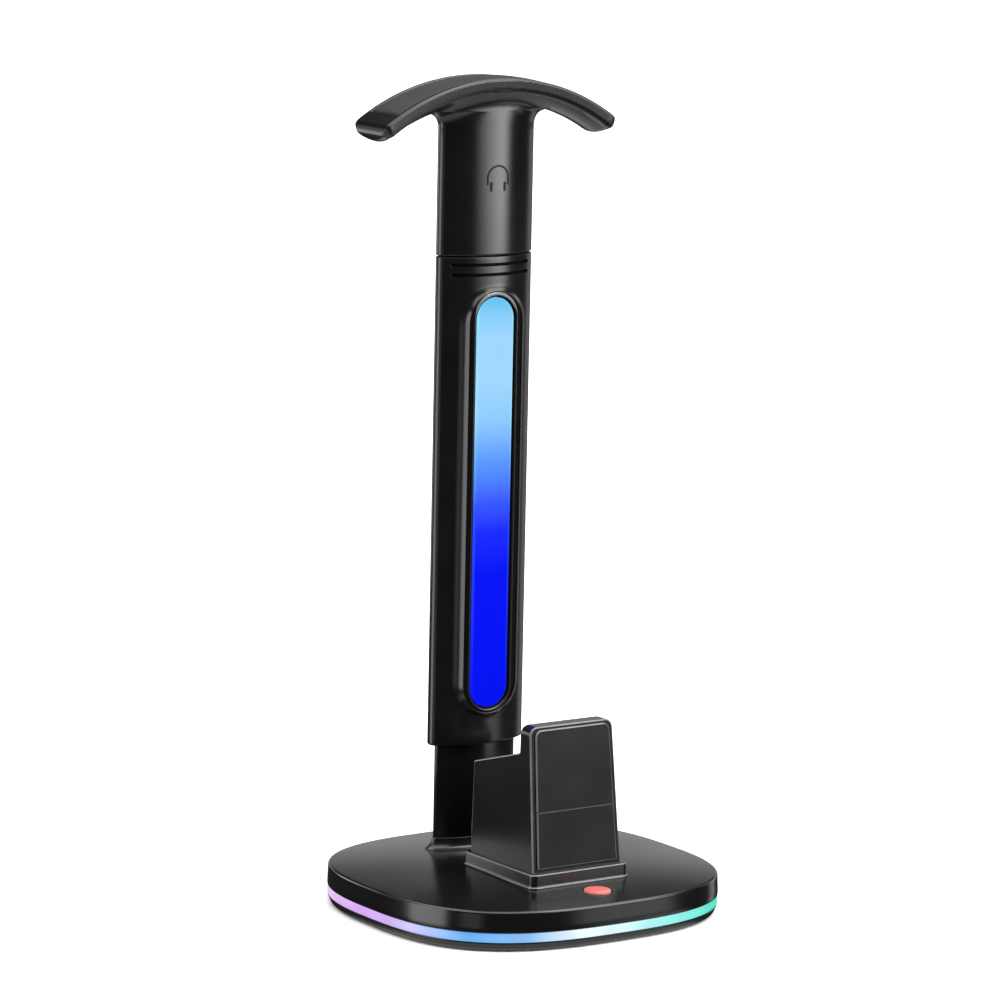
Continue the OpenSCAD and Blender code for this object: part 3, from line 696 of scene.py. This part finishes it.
def make_column():
    S = Sheet()
    wall = 2.2

    def face_pt(x, z, up=0.0):
        """Point on the front arc, raised by up along the depth, and its back point."""
        y = float(front_y(x))
        n = np.array([x, y - (COL_Y + RF_C - COL[1])]) / RF_C
        d = sunk(x, z, COL_LO, COL_HI)
        return (np.array([x - n[0] * d, y - n[1] * d - up, z]), np.array([x - n[0] * wall, y - n[1] * wall, z]))

    # side columns: from the window field to the seam
    cols = [(x, None) for x in (X0, 18.1, 18.6, 18.85, 19.05, 19.18, 19.24, 19.28, 19.32, 19.36, 19.40, 19.44, 19.48, 19.56, 19.7, 20.0, 20.5, 21.0, 21.5)]
    arcs = list(np.linspace(-AF_C, 0, 13))

    def side_pts(z, s):
        out = [face_pt(s * x, z) for x, _ in cols]
        d = sunk(99.0, z, COL_LO, COL_HI)
        for k, a in enumerate(arcs):
            r = COL[3] - d
            n = np.array([math.cos(a), math.sin(a)])
            c = np.array([E_C, COL_Y])
            p, q = c + n * r, c + n * (COL[3] - wall)
            if k == len(arcs) - 1:
                p = p - np.array([0.16, 0.05])
                q = q - np.array([0.0, 0.05])
            out.append((np.array([s * p[0], p[1], z]), np.array([s * q[0], q[1], z])))
            if k == len(arcs) - 2:
                a2 = -0.035
                n = np.array([math.cos(a2), math.sin(a2)])
                p, q = c + n * r, c + n * (COL[3] - wall)
                out.append((np.array([s * p[0], p[1], z]), np.array([s * q[0], q[1], z])))
        return out

    # window field: loops from the crest of the rim outwards
    C, D = stadium_stations(RIM_HW, WIN_LO - RIM_END, WIN_HI + RIM_END, NS, PH_TOP, PH_BOT)
    n = len(C)
    B = np.empty_like(C)
    for k in range(n):
        x, z = C[k]
        dx, dz = D[k]
        cz = _zt if z > _zt else (_zb if z < _zb else z)
        ts = [t for t in ((X0 / abs(dx)) if abs(dx) > 1e-9 else 1e9, ((Z1 - cz) / dz) if dz > 1e-9 else 1e9, ((Z0 - cz) / dz) if dz < -1e-9 else 1e9)]
        t = min(ts)
        B[k] = (dx * t, cz + dz * t)
    B[np.abs(np.abs(B[:, 0]) - X0) < 1e-6, 0] = np.sign(B[np.abs(np.abs(B[:, 0]) - X0) < 1e-6, 0]) * X0
    H = front_y(C[:, 0]) - RIM_Y
    W = 4.1 - 1.3 * np.abs(D[:, 1]) ** 1.5
    R = (W * W + H * H) / (2 * H)                     # hollow round the rim, level with the front at its foot
    loops = []
    for off, y in ((-0.28, 30.4), (-0.28, RIM_Y + 0.34), (-0.25, RIM_Y + 0.16), (-0.17, RIM_Y + 0.05), (-0.08, RIM_Y + 0.008)):
        P = C + D * off
        loops.append([(np.array([p[0], y, p[1]]), face_pt(p[0], p[1])[1]) for p in P])
    for lam in (0.0, 0.03, 0.07, 0.12, 0.18, 0.25, 0.33, 0.42, 0.52, 0.63, 0.75, 0.87, 1.0):
        P = C + D * (W * lam)[:, None]
        loops.append([face_pt(p[0], p[1], r - math.sqrt(r * r - (w * (1 - lam)) ** 2)) for p, w, r in zip(P, W, R)])
    foot = C + D * W[:, None]
    for mu in (0.3, 0.65, 1.0):
        P = foot + (B - foot) * mu
        loops.append([face_pt(p[0], p[1]) for p in P])
    ids = [[S.v(*pq) for pq in lp] for lp in loops]
    for a, b in zip(ids, ids[1:]):
        for k in range(n):
            m = (k + 1) % n
            S.face(b[k], b[m], a[m], a[k])

    # rows of the plain bands
    zr = sorted({round(float(z), 6) for x, z in B if abs(x - X0) < 1e-6})
    lo_rows = [COL_LO + v for v in (0.0, 0.04, 0.12, 0.24, 0.4, 0.6, 0.8, 1.0, 2.5, 5.0)]
    hi_rows = [262.4]
    for g in sorted(GROOVES):
        hi_rows += [g + o for o in (-0.95, -0.74, -0.68, -0.64, -0.60, -0.56, -0.52, -0.48, -0.44, -0.3, 0.0, 0.3, 0.44, 0.48, 0.52, 0.56, 0.60, 0.64, 0.68, 0.74, 0.95)]
    hi_rows += [270.4, 271.1] + [COL_HI - 0.55 * (1 - math.sin(math.radians(a))) for a in (0, 15, 30, 45, 60, 75, 90)]
    rows = lo_rows + zr + hi_rows
    for s in (-1, 1):
        g = [[S.v(*pq) for pq in side_pts(z, s)] for z in rows]
        for a, b in zip(g, g[1:]):
            for k in range(len(a) - 1):
                S.face(*((a[k], a[k + 1], b[k + 1], b[k]) if s > 0 else (a[k + 1], a[k], b[k], b[k + 1])))
    for zs, zfix in ((lo_rows + [Z0], Z0), ([Z1] + hi_rows, Z1)):
        xs = sorted({round(float(x), 6) for x, z in B if abs(z - zfix) < 1e-6})
        exact = {round(float(x), 6): (x, z) for x, z in B if abs(z - zfix) < 1e-6}
        g = []
        for z in zs:
            g.append([S.v(*(face_pt(*exact[x]) if z == zfix else face_pt(x, z))) for x in xs])
        for a, b in zip(g, g[1:]):
            for k in range(len(a) - 1):
                S.face(a[k], a[k + 1], b[k + 1], b[k])
    V, F = S.closed()
    ob = build("column_front", V, F, K["satin_black"], "stand", ["column_front_shell"], "satin_black", sharp=55)
    # painted shade: near black on the top rounding at the split and on the groove floors
    tint(ob, K["gap_dark"], lambda c, n: c.z > COL_HI - 0.32 or (262.0 < c.z < 271.0 and abs(c.x) < 19.6 and c.y - front_y(c.x) < 1.7 and sunk(c.x, c.z, COL_LO, COL_HI) > 0.3))

    # back cover
    S = Sheet()
    e, rf, rb, af, ab = E_C, RF_C, RB_C, AF_C, AB_C
    line = []
    for k, a in enumerate([0.0, 0.035] + list(np.linspace(0.1, ab, 10))):
        line.append((E_C, COL_Y, COL[3], a, k == 0))
    xs = np.linspace(ab, math.pi - ab, 41)[1:-1]
    right = line
    mid = [(0.0, COL_Y + COL[2] - rb, rb, a, False) for a in xs]
    left = [(-E_C, COL_Y, COL[3], math.pi - a, k) for (cx, cy, r, a, k) in reversed(line)]
    rows = [COL_LO + v for v in (0.0, 0.04, 0.12, 0.24, 0.4, 0.6, 0.8, 1.0)] + list(np.linspace(66, 80, 8)) + list(np.linspace(84, 256, 22)) + list(np.linspace(258, 270.4, 8)) + \
        [COL_HI - 0.55 * (1 - math.sin(math.radians(a))) for a in (0, 15, 30, 45, 60, 75, 90)]
    g = []
    for z in rows:
        d = 0.0
        if z < COL_LO + 1.0:
            d = 1.0 - math.sqrt(max(0.0, 1.0 - (1.0 - (z - COL_LO)) ** 2))
        if z > COL_HI - 0.55:
            d = 0.55 - math.sqrt(max(0.0, 0.55 ** 2 - (0.55 - (COL_HI - z)) ** 2))
        row = []
        for cx, cy, r, a, seam in right + mid + left:
            nn = np.array([math.cos(a), math.sin(a)])
            p = np.array([cx, cy]) + nn * (r - d)
            q = np.array([cx, cy]) + nn * (r - wall)
            if seam:
                p = p + np.array([-0.16 * np.sign(p[0]), 0.05])
                q = q + np.array([0.0, 0.05])
            row.append(S.v(np.array([p[0], p[1], z]), np.array([q[0], q[1], z])))
        g.append(row)
    for a, b in zip(g, g[1:]):
        for k in range(len(a) - 1):
            S.face(a[k], a[k + 1], b[k + 1], b[k])
    ob = build("column_back", *S.closed(), K["satin_black"], sharp=55)
    tools = []
    for sx in (-1, 1):
        for z in (72.4, SPLIT - 8):
            rings = []
            for r, y in ((1.35, 38.0), (1.35, 44.0), (2.3, 44.0), (2.3, 44.9), (2.75, 45.5), (2.75, 50.0)):
                a = np.linspace(0, 2 * np.pi, 40, endpoint=False)
                rings.append(np.stack([sx * 10 + r * np.cos(a), np.full(40, y), z + r * np.sin(a)], 1))
            tools.append(build("c", *loft(rings), None))
    cut(ob, *tools)
    # painted shade: near black on the top rounding at the split
    tint(ob, K["gap_dark"], lambda c, n: c.z > COL_HI - 0.32)
    settle(ob, "stand", ["column_back_cover"])

    # frame inside the rim
    Wp, Wd = stadium_stations(WIN_HW, WIN_LO, WIN_HI, NS, PH_TOP, PH_BOT)
    loops = []
    for off, y in ((-0.36, 30.6), (-0.36, 28.46), (-0.39, 28.30), (-0.43, 28.23)):
        P = C + D * off
        loops.append(np.stack([P[:, 0], np.full(n, y), P[:, 1]], 1))
    for mg, y in ((1.95, 28.21), (1.84, 28.14), (1.68, 27.99), (1.48, 27.88), (1.24, 27.85), (1.00, 27.87), (0.80, 27.95), (0.66, 28.08), (0.57, 28.26), (0.52, 28.5), (0.48, 28.78), (0.28, 28.95), (-0.16, 28.95), (-0.18, 30.6)):
        P = Wp + Wd * mg
        loops.append(np.stack([P[:, 0], np.full(n, y), P[:, 1]], 1))
    ob = build("window_frame", *loft(loops, torus=True), K["rim_black"], sharp=60)

    def crest(c, n):
        """Painted highlight on the top of the bead over the round end of the window, narrower towards the sides."""
        h = c.z - WIN_HI + WIN_HW
        r = math.hypot(c.x, h)
        return h > 0 and c.y < 28.2 and abs(r - WIN_HW - 1.3) < 0.6 * min(1.0, (h / r - 0.22) / 0.3)

    # painted highlight on the bead's crest
    tint(ob, K["edge_black"], crest)
    # painted shade: near-black ring in the groove between the bead and the lit window
    tint(ob, K["gap_dark"], lambda c, n: 28.1 < c.y < 29.0 and c.z > WIN_LO - 1.2 and c.z < WIN_HI + 0.64 and abs(c.x) < WIN_HW + 0.64 and math.hypot(c.x, max(0.0, c.z - WIN_HI + WIN_HW, WIN_LO + WIN_HW - c.z)) < WIN_HW + 0.64)
    settle(ob, "stand", ["column_window_bezel"])

    # lit window
    rings, rim = [], []
    for mg, y, w in ((-0.05, 30.5, 1.0), (-0.05, 28.75, 1.0), (-0.09, 28.56, 1.0), (-0.2, 28.44, 1.0), (-0.4, 28.4, 1.0), (-0.62, 28.38, 0.8), (-0.85, 28.37, 0.35), (-1.15, 28.36, 0.06), (-1.6, 28.35, 0.0), (-3.0, 28.33, 0.0), (-5.0, 28.31, 0.0), (-7.2, 28.3, 0.0), (-8.8, 28.3, 0.0)):
        P = Wp + Wd * (mg - 0.26)
        rings.append(np.stack([P[:, 0], np.full(n, y), P[:, 1]], 1))
        rim += [w] * n
    R = len(rings)
    F = grid_faces(R, n)
    F.append(tuple((R - 1) * n + j for j in range(n)))
    F.append(tuple(reversed(range(n))))
    ob = build("window_light", np.concatenate(rings), F, K["window_light"], sharp=60, merge=False)
    at = ob.data.attributes.new("rim", "FLOAT", "POINT")
    at.data.foreach_set("value", np.array(rim, np.float32))
    settle(ob, "stand", ["column_diffuser"])

    # foot of the column
    ins = [(0.9, 19.4), (0.35, 19.4), (0.0, 19.8), (0.0, 62.0), (0.0, 74.9), (0.3, 75.6), (0.9, 75.9)]
    build("column_stem", *loft([lens_ring(WAIST[0] - i, WAIST[1] - i, WAIST[2] - i, WAIST[3] - min(i, 1.2), z) for i, z in ins]), K["satin_black"], "stand", ["column_pedestal"], "satin_black", sharp=60)
    rings = []
    for t, z in [(-0.06, 18.3), (-0.07, 18.75), (-0.065, 19.0), (-0.03, 19.18), (0.03, 19.25)] + [(t, 19.25 + 4.2 * t ** 1.9) for t in (0.12, 0.22, 0.34, 0.46, 0.58, 0.7, 0.8, 0.88, 0.94)] + [(0.975, 23.42), (1.0, 23.58), (1.05, 23.62), (1.085, 23.5)]:
        rings.append(lens_ring(23.4 - 3.1 * t, 9.8 - 3.1 * t, 8.1 - 2.9 * t, 3.4 - 1.6 * t, z))
    build("column_collar", *loft(rings), K["satin_black"], "stand", ["column_foot_collar"], "satin_black", sharp=60)


# ---------------------------------------------------------------- hanger
def rmax(a, b, r):
    """Intersection of two solids with a round edge."""
    return np.minimum(-r, np.maximum(a, b)) + np.hypot(np.maximum(a + r, 0), np.maximum(b + r, 0))


def smin(a, b, k):
    h = np.clip(0.5 + 0.5 * (b - a) / k, 0, 1)
    return b + (a - b) * h - k * h * (1 - h)


def lens_sd(x, y, hw, f, b, r):
    e, rf, rb, af, ab = lens_parts(hw, f, b, r)
    ax = np.abs(x)
    d1 = np.hypot(ax, y - (rf - f)) - (rf - r)
    d2 = np.hypot(ax, y - (b - rb)) - (rb - r)
    px = ax - e
    cone = (e * y + (rf - f) * px >= 0) & (px * (rb - b) - y * e >= 0)
    return np.where(cone, np.hypot(px, y), np.maximum(d1, d2)) - r


def hanger_sd(x, y, z):
    zz = z - ARM_CZ
    rr = np.hypot(x, zz)
    t = ARM_R - rr
    a = np.abs(y - HEAD_Y)
    ang = np.abs(np.arctan2(x, zz))
    # lip: a flat-faced band with a chamfer below, its corners rounded at the ends of the arms
    ends = np.abs(x) * END[0] - zz * END[1] - END[2]
    face = (a - ARM_D + 0.122 * t) * 0.9926
    cham = (a - ARM_D + 0.482 + 0.25 * (t - 3.95)) * 0.9701
    lip = rmax(np.maximum(rmax(-t, face, 0.9), cham), t - 5.8, 0.3)
    # belly below the lip, thinner towards the ends
    out = np.clip((np.degrees(ang) - 10.0) / 27.0, 0.0, 1.0)
    sa, sb = ARM_D - 2.1, 7.9 - 1.9 * out
    A, B = a / sa, (t - 2.6) / sb
    q = np.sqrt(A * A + B * B) + 1e-9
    belly = (q - 1) / (np.sqrt((A / sa) ** 2 + (B / sb) ** 2) / q + 1e-9)
    belly = np.maximum(belly, 3.0 - t)
    k = np.clip((z - 326.2) / 7.0, 0.0, 0.995)
    flare = 8.0 * (1.0 - np.sqrt(1.0 - k * k))
    k = np.clip((13.0 - t) / 14.0, 0.0, 0.52)
    front = 14.0 * (1.0 - np.sqrt(1.0 - k * k))
    neck = lens_sd(x * COL[0] / (COL[0] + flare), (y - COL_Y) * COL[1] / (COL[1] + front), *COL)
    neck = np.maximum(rmax(neck, SPLIT - z, 0.55), 4.6 - t)
    body = smin(neck, rmax(belly, ends, 4.0), 3.0)
    body = smin(body, rmax(lip, ends, 4.0), 0.1 + 2.6 * np.clip((np.degrees(ang) - 26.0) / 9.0, 0.0, 1.0))
    hollow = np.maximum(lens_sd(x, y - COL_Y, COL[0] - 2.2, COL[1] - 2.2, COL[2] - 2.2, COL[3] - 2.2), z - 330.0)
    body = np.maximum(body, -hollow)
    pocket = np.maximum(np.maximum(a - PAD_D - 0.1, 98.0 - rr), (ang - math.radians(30.2)) * rr)
    return rmax(body, -pocket, 0.35)


def nets(f, lo, hi, h):
    """Skin of the solid where f is negative: one point per crossed cell, drawn onto the surface."""
    lo, hi = np.array(lo, float), np.array(hi, float)
    cnt = np.ceil((hi - lo) / h).astype(int) + 1
    X, Y, Z = np.meshgrid(*[lo[i] + h * np.arange(cnt[i]) for i in range(3)], indexing="ij")
    W = f(X, Y, Z)
    I = W < 0
    cor = np.array([[0, 0, 0], [1, 0, 0], [0, 1, 0], [1, 1, 0], [0, 0, 1], [1, 0, 1], [0, 1, 1], [1, 1, 1]])
    nx, ny, nz = cnt - 1
    tot = sum(I[o[0]:o[0] + nx, o[1]:o[1] + ny, o[2]:o[2] + nz].astype(np.int8) for o in cor)
    act = (tot > 0) & (tot < 8)
    ids = np.argwhere(act)
    num = -np.ones(act.shape, int)
    num[act] = np.arange(len(ids))
    val = np.stack([W[ids[:, 0] + o[0], ids[:, 1] + o[1], ids[:, 2] + o[2]] for o in cor], 1)
    acc, k = np.zeros((len(ids), 3)), np.zeros(len(ids))
    for a, b in ((0, 1), (2, 3), (4, 5), (6, 7), (0, 2), (1, 3), (4, 6), (5, 7), (0, 4), (1, 5), (2, 6), (3, 7)):
        va, vb = val[:, a], val[:, b]
        m = (va < 0) != (vb < 0)
        s = va[m] / (va[m] - vb[m])
        acc[m] += cor[a] + s[:, None] * (cor[b] - cor[a])
        k[m] += 1
    P = lo + h * (ids + acc / k[:, None])
    F = []
    for ax in range(3):
        u, w = (ax + 1) % 3, (ax + 2) % 3
        A = np.moveaxis(I, (ax, u, w), (0, 1, 2))
        M = np.moveaxis(num, (ax, u, w), (0, 1, 2))
        c0, c1 = A[:-1, 1:-1, 1:-1], A[1:, 1:-1, 1:-1]
        for sel, flip in ((c0 & ~c1, False), (~c0 & c1, True)):
            i, j, l = np.nonzero(sel)
            quad = np.stack([M[i, j, l], M[i, j + 1, l], M[i, j + 1, l + 1], M[i, j, l + 1]], 1)
            F.append(quad[:, ::-1] if flip else quad)
    F = np.concatenate(F)

    def grad(Q, e=0.02):
        g = np.empty_like(Q)
        for i in range(3):
            d = np.zeros(3)
            d[i] = e
            A, B = Q + d, Q - d
            g[:, i] = (f(A[:, 0], A[:, 1], A[:, 2]) - f(B[:, 0], B[:, 1], B[:, 2])) / (2 * e)
        return g

    start = P.copy()
    for _ in range(4):
        g = grad(P)
        s = f(P[:, 0], P[:, 1], P[:, 2]) / np.maximum((g * g).sum(1), 0.05)
        P = P - s[:, None] * g
        off = P - start
        far = np.linalg.norm(off, axis=1)
        P = start + off * np.minimum(1, 0.6 * h / np.maximum(far, 1e-9))[:, None]
    g = grad(P, 0.06)
    return P, F, g / np.maximum(np.linalg.norm(g, axis=1), 1e-9)[:, None]


def make_hanger():
    h = 0.55
    P, F, N = nets(hanger_sd, (-60.3, 24.6, 271.6), (60.3, 52.0, 348.2), h)
    ob = build("hanger_shell", P, F, K["satin_black"], sharp=60, normals=N, merge=False)
    # painted shade: near black along the bottom edge at the split
    tint(ob, K["gap_dark"], lambda c, n: c.z < SPLIT + 0.32)
    settle(ob, "hanger", ["hanger_body"])

    # soft pad: crowned, rolled at the rim, its sides drawn in a little between the corners
    nu, nv = 121, 41
    V, F = [], []
    for i in range(nu):
        u = -1 + 2 * i / (nu - 1)
        row = []
        for j in range(nv):
            v = -1 + 2 * j / (nv - 1)
            row.append((u, v))
        V += row
    V = np.array(V)
    u, v = np.sign(V[:, 0]) * np.abs(V[:, 0]) ** 0.8, np.sign(V[:, 1]) * np.abs(V[:, 1]) ** 0.75
    draw = 0.22 * (1 - u ** 2) + 0.02 * np.cos(u * 9)
    half = PAD_D - 0.1 - draw
    ang = u * (PAD_A - math.radians(0.12)) * (1 - 0.004 * (1 - v ** 2))
    eu = np.clip((1 - np.abs(u)) * 52.0 / 1.6, 0, 1)
    ev = np.clip((1 - np.abs(v)) * 11.0 / 1.5, 0, 1)
    roll = np.sqrt(np.maximum(1 - (1 - eu) ** 2, 0)) * np.sqrt(np.maximum(1 - (1 - ev) ** 2, 0))
    lift = 2.05 + 0.62 * roll + 0.75 * (1 - np.abs(v) ** 2.4) * (1 - u ** 6)
    rad = 98.06 + lift
    top = np.stack([rad * np.sin(ang), HEAD_Y + v * half, ARM_CZ + rad * np.cos(ang)], 1)
    r0 = np.full(len(u), 98.06)
    bot = np.stack([r0 * np.sin(ang), HEAD_Y + v * half, ARM_CZ + r0 * np.cos(ang)], 1)
    n = nu * nv
    F = []
    for i in range(nu - 1):
        for j in range(nv - 1):
            a, b, c, d = i * nv + j, i * nv + j + 1, (i + 1) * nv + j + 1, (i + 1) * nv + j
            F += [(a, d, c, b), (a + n, b + n, c + n, d + n)]
    edge = [(i, 0) for i in range(nu)] + [(nu - 1, j) for j in range(1, nv)] + [(i, nv - 1) for i in range(nu - 2, -1, -1)] + [(0, j) for j in range(nv - 2, 0, -1)]
    loop = [i * nv + j for i, j in edge]
    for a, b in zip(loop, loop[1:] + loop[:1]):
        F.append((a, b, b + n, a + n))
    ob = build("hanger_cushion", np.vstack([top, bot]), F, K["pad_silicone"], "hanger", ["hanger_pad"], "pad_silicone", sharp=65)

    # small raised sign on the front of the neck: an arch over two upright pads
    def ribbon(path, half, high):
        path = np.array(path, float)
        tan = np.gradient(path, axis=0)
        tan /= np.linalg.norm(tan, axis=1)[:, None]
        nor = np.stack([-tan[:, 1], tan[:, 0]], 1)
        prof = [(-1.0, -0.12), (-1.0, 0.35), (-0.8, 0.85), (-0.45, 1.0), (0.45, 1.0), (0.8, 0.85), (1.0, 0.35), (1.0, -0.12)]
        rings = []
        for k in range(len(path)):
            r = []
            for s, hgt in prof:
                x, z = path[k] + nor[k] * s * half
                r.append((x, float(front_y(x)) - hgt * high, z))
            rings.append(np.array(r))
        return loft(rings)

    arch = [(-5.0, 302.4), (-5.05, 303.4), (-5.05, 304.4)] + [(-5.05 * math.cos(a), 305.3 + 5.05 * math.sin(a)) for a in np.linspace(0.02, math.pi - 0.02, 37)] + [(5.05, 304.4), (5.05, 303.4), (5.0, 302.4)]
    parts = [ribbon(arch, 0.42, 0.16)]
    for s in (-1, 1):
        parts.append(ribbon([(s * 3.35, z) for z in np.linspace(299.7, 303.6, 9)], 0.62, 0.18))
    V, F, o = [], [], 0
    for pv, pf in parts:
        V.append(pv)
        F += [tuple(i + o for i in f) for f in pf]
        o += len(pv)
    # dark strokes: the sign's own dark colour, partly a painted shade of engraved lines
    build("neck_sign", np.concatenate(V), F, K["icon_dark"], "hanger", (), "satin_black", sharp=50)


make_base()
make_cradle()
make_column()
make_hanger()

# ---------------------------------------------------------------- parts kept from the CAD
slot_of = {p["node"]: p["material_slot"] for p in frame["record"]["subparts"]}
for name, ob in frame["nodes"].items():
    mat = K[slot_of[name]]
    if not ob.material_slots:
        ob.data.materials.append(mat)
    for s in ob.material_slots:
        s.material = mat
for name, w in (("charge_pin_housing", 0.3), ("usb_c_inlet", 0.12), ("base_screws", 0.25), ("rubber_feet", 0.35), ("neck_spigot", 0.3), ("column_screws", 0.15)):
    m = frame["nodes"][name].modifiers.new("round", "BEVEL")
    m.width, m.segments, m.limit_method, m.angle_limit = w * 0.001, 3, "ANGLE", math.radians(40)
    m.harden_normals = False

# ---------------------------------------------------------------- stage
q = Mat("studio_floor")
q.link(q.ramp(q.noise(3.0, 3.0), [(0.3, (0.79, 0.79, 0.79)), (0.7, (0.81, 0.81, 0.81))]), q.b.inputs["Base Color"])
q.link(q.remap(q.noise(40.0), 0.3, 0.7, 0.8, 0.9), q.b.inputs["Roughness"])
q.put(Specular_IOR_Level=0.05)
sweep = [(r, -0.05) for r in (40.0, 200.0, 500.0, 1000.0, 2000.0, 3500.0, 5000.0, 6500.0)] + [(x, z - 0.05) for x, z in arc(6500, 2500, 2500, -80, 0, 10)] + [(9000.0, 5000.0), (9000.0, 9000.0)]
V, F = loft(lathe(sweep, 0, 0, 96), cap1=False)
floor = build("floor", V, F, q.m)
floor.visible_glossy = False
floor.visible_shadow = False
floor.visible_diffuse = False

w = bpy.data.worlds.new("studio")
scene.world = w
w.use_nodes = True
wt = w.node_tree


def sky(op, *vals):
    n = wt.nodes.new("ShaderNodeMath")
    n.operation = op
    for s_, v in zip(n.inputs, vals):
        if isinstance(v, (int, float)):
            s_.default_value = v
        else:
            wt.links.new(v, s_)
    return n.outputs[0]


def band(val, a, b, sa, sb):
    """1 between a and b, falling to 0 over the soft widths below and above."""
    up = wt.nodes.new("ShaderNodeMapRange")
    dn = wt.nodes.new("ShaderNodeMapRange")
    for n, (f0, f1) in ((up, (a - sa, a)), (dn, (b + sb, b))):
        n.interpolation_type = "SMOOTHSTEP"
        n.inputs["From Min"].default_value, n.inputs["From Max"].default_value = f0, f1
        wt.links.new(val, n.inputs["Value"])
    return sky("MULTIPLY", up.outputs[0], dn.outputs[0])


dirn = wt.nodes.new("ShaderNodeSeparateXYZ")
wt.links.new(wt.nodes.new("ShaderNodeTexCoord").outputs["Generated"], dirn.inputs[0])
elev = sky("MULTIPLY", sky("ARCSINE", dirn.outputs["Z"]), 180 / math.pi)
azim = sky("MULTIPLY", sky("ARCTAN2", dirn.outputs["X"], sky("MULTIPLY", dirn.outputs["Y"], -1.0)), 180 / math.pi)
side = sky("ABSOLUTE", azim)
level = 0.03
for lev, parts in ((0.72, [(elev, 2, 9, 3, 11), (side, 110, 190, 30, 1)]),          # pale wall behind
                   (3.3, [(elev, 50, 95, 12, 1)]),                                  # soft box overhead
                   (6.0, [(azim, 20, 50, 14, 14), (elev, 22, 60, 14, 12)]),         # and down its front
                   (1.6, [(azim, 30, 46, 12, 12), (elev, -13, -8, 3, 3)]),         # low cards
                   (0.8, [(azim, -66, -54, 10, 10), (elev, -14, -7, 4, 3)]),
                   (1.6, [(azim, 46, 60, 18, 10), (elev, -25, -20, 2, 3)]),
                   (1.0, [(elev, -95, -42, 1, 12)])):                               # pale table below
    m = band(*parts[0])
    for p in parts[1:]:
        m = sky("MULTIPLY", m, band(*p))
    level = sky("ADD", sky("MULTIPLY", m, lev), level)
wt.links.new(level, wt.nodes["Background"].inputs["Strength"])
wt.nodes["Background"].inputs["Color"].default_value = (1.0, 1.0, 1.0, 1.0)


def lamp(name, az, dist, width, z0, z1, level):
    """Upright soft box at this azimuth (0 in front, positive to the right), of the given radiance."""
    a = math.radians(az)
    d = bpy.data.lights.new(name, "AREA")
    d.shape, d.size, d.size_y, d.energy = "RECTANGLE", width, z1 - z0, level * math.pi * width * (z1 - z0)
    o = bpy.data.objects.new(name, d)
    p = Vector((math.sin(a) * dist, -math.cos(a) * dist, (z0 + z1) / 2))
    o.location = p
    o.rotation_euler = Vector((-p.x, -p.y, 0.0)).to_track_quat("-Z", "Y").to_euler()
    o.visible_camera = False
    scene.collection.objects.link(o)
    return o


lamp("left_strip", -102, 0.95, 0.60, -0.30, 0.70, 3.4)
lamp("rear_strip", -152, 0.95, 0.34, -0.04, 0.32, 3.0)
lamp("right_rear_strip", 102, 0.95, 0.22, -0.30, 0.70, 0.8)

# graded soft box on the right: brightest in the middle, fading to both sides
q = Mat("graded_card")
sp = q.node("ShaderNodeSeparateXYZ")
q.link(q.co, sp.inputs[0])
lft = q.remap(sp.outputs["X"], -0.72, 0.02, 0.0, 1.0)
rgt = q.remap(sp.outputs["X"], 0.30, 0.08, 0.0, 1.0)
up = q.remap(sp.outputs["Z"], 0.25, 0.42, 8.2, 4.6)
q.link(q.math("MULTIPLY", q.math("MULTIPLY", lft, rgt), up), q.b.inputs["Emission Strength"])
q.put(Base_Color=(0.0, 0.0, 0.0, 1.0), Emission_Color=(1.0, 1.0, 1.0, 1.0), Specular_IOR_Level=0.0)
xs, zs = np.linspace(-720, 300, 18), np.linspace(135, 490, 5)
V = [(x, 0.0, z) for z in zs for x in xs]
F = [(j * 18 + i, j * 18 + i + 1, (j + 1) * 18 + i + 1, (j + 1) * 18 + i) for j in range(4) for i in range(17)]
card = build("graded_card", V, F, q.m)
a = math.radians(38)
card.matrix_world = Matrix.Translation((0.95 * math.sin(a), -0.95 * math.cos(a), 0.0)) @ Matrix.Rotation(a, 4, "Z")
card.visible_camera = False
card.visible_shadow = False

# ---------------------------------------------------------------- camera
yaw, pitch, roll = 0.60132551, 0.16916071, 0.02111374
focal, u0, v0 = 5137.97, 530.286, 505.959
C = np.array([-math.sin(yaw) * 2.109903, -math.cos(yaw) * 2.109903, 0.531295])
c = np.array([-math.sin(yaw) * math.cos(pitch), -math.cos(yaw) * math.cos(pitch), math.sin(pitch)])
r_ = np.array([math.cos(yaw), -math.sin(yaw), 0.0])
u_ = np.cross(c, r_)
u_ = u_ if u_[2] > 0 else -u_
R = math.cos(roll) * r_ + math.sin(roll) * u_
U = -math.sin(roll) * r_ + math.cos(roll) * u_
D = -c * focal + R * (500.5 - u0) + U * (v0 - 500.5)
D /= np.linalg.norm(D)
R = R - (R @ D) * D
R /= np.linalg.norm(R)
U = np.cross(R, D)
cam = bpy.data.cameras.new("camera")
cam.sensor_fit, cam.sensor_width, cam.lens = "HORIZONTAL", 36.0, 36.0 * focal / 1001.0
cam.clip_end = 60.0
co = bpy.data.objects.new("camera", cam)
M = Matrix.Identity(4)
for i in range(3):
    M[i][0], M[i][1], M[i][2], M[i][3] = R[i], U[i], -D[i], C[i]
co.matrix_world = M
scene.collection.objects.link(co)
scene.camera = co
scene.view_settings.view_transform = "Standard"
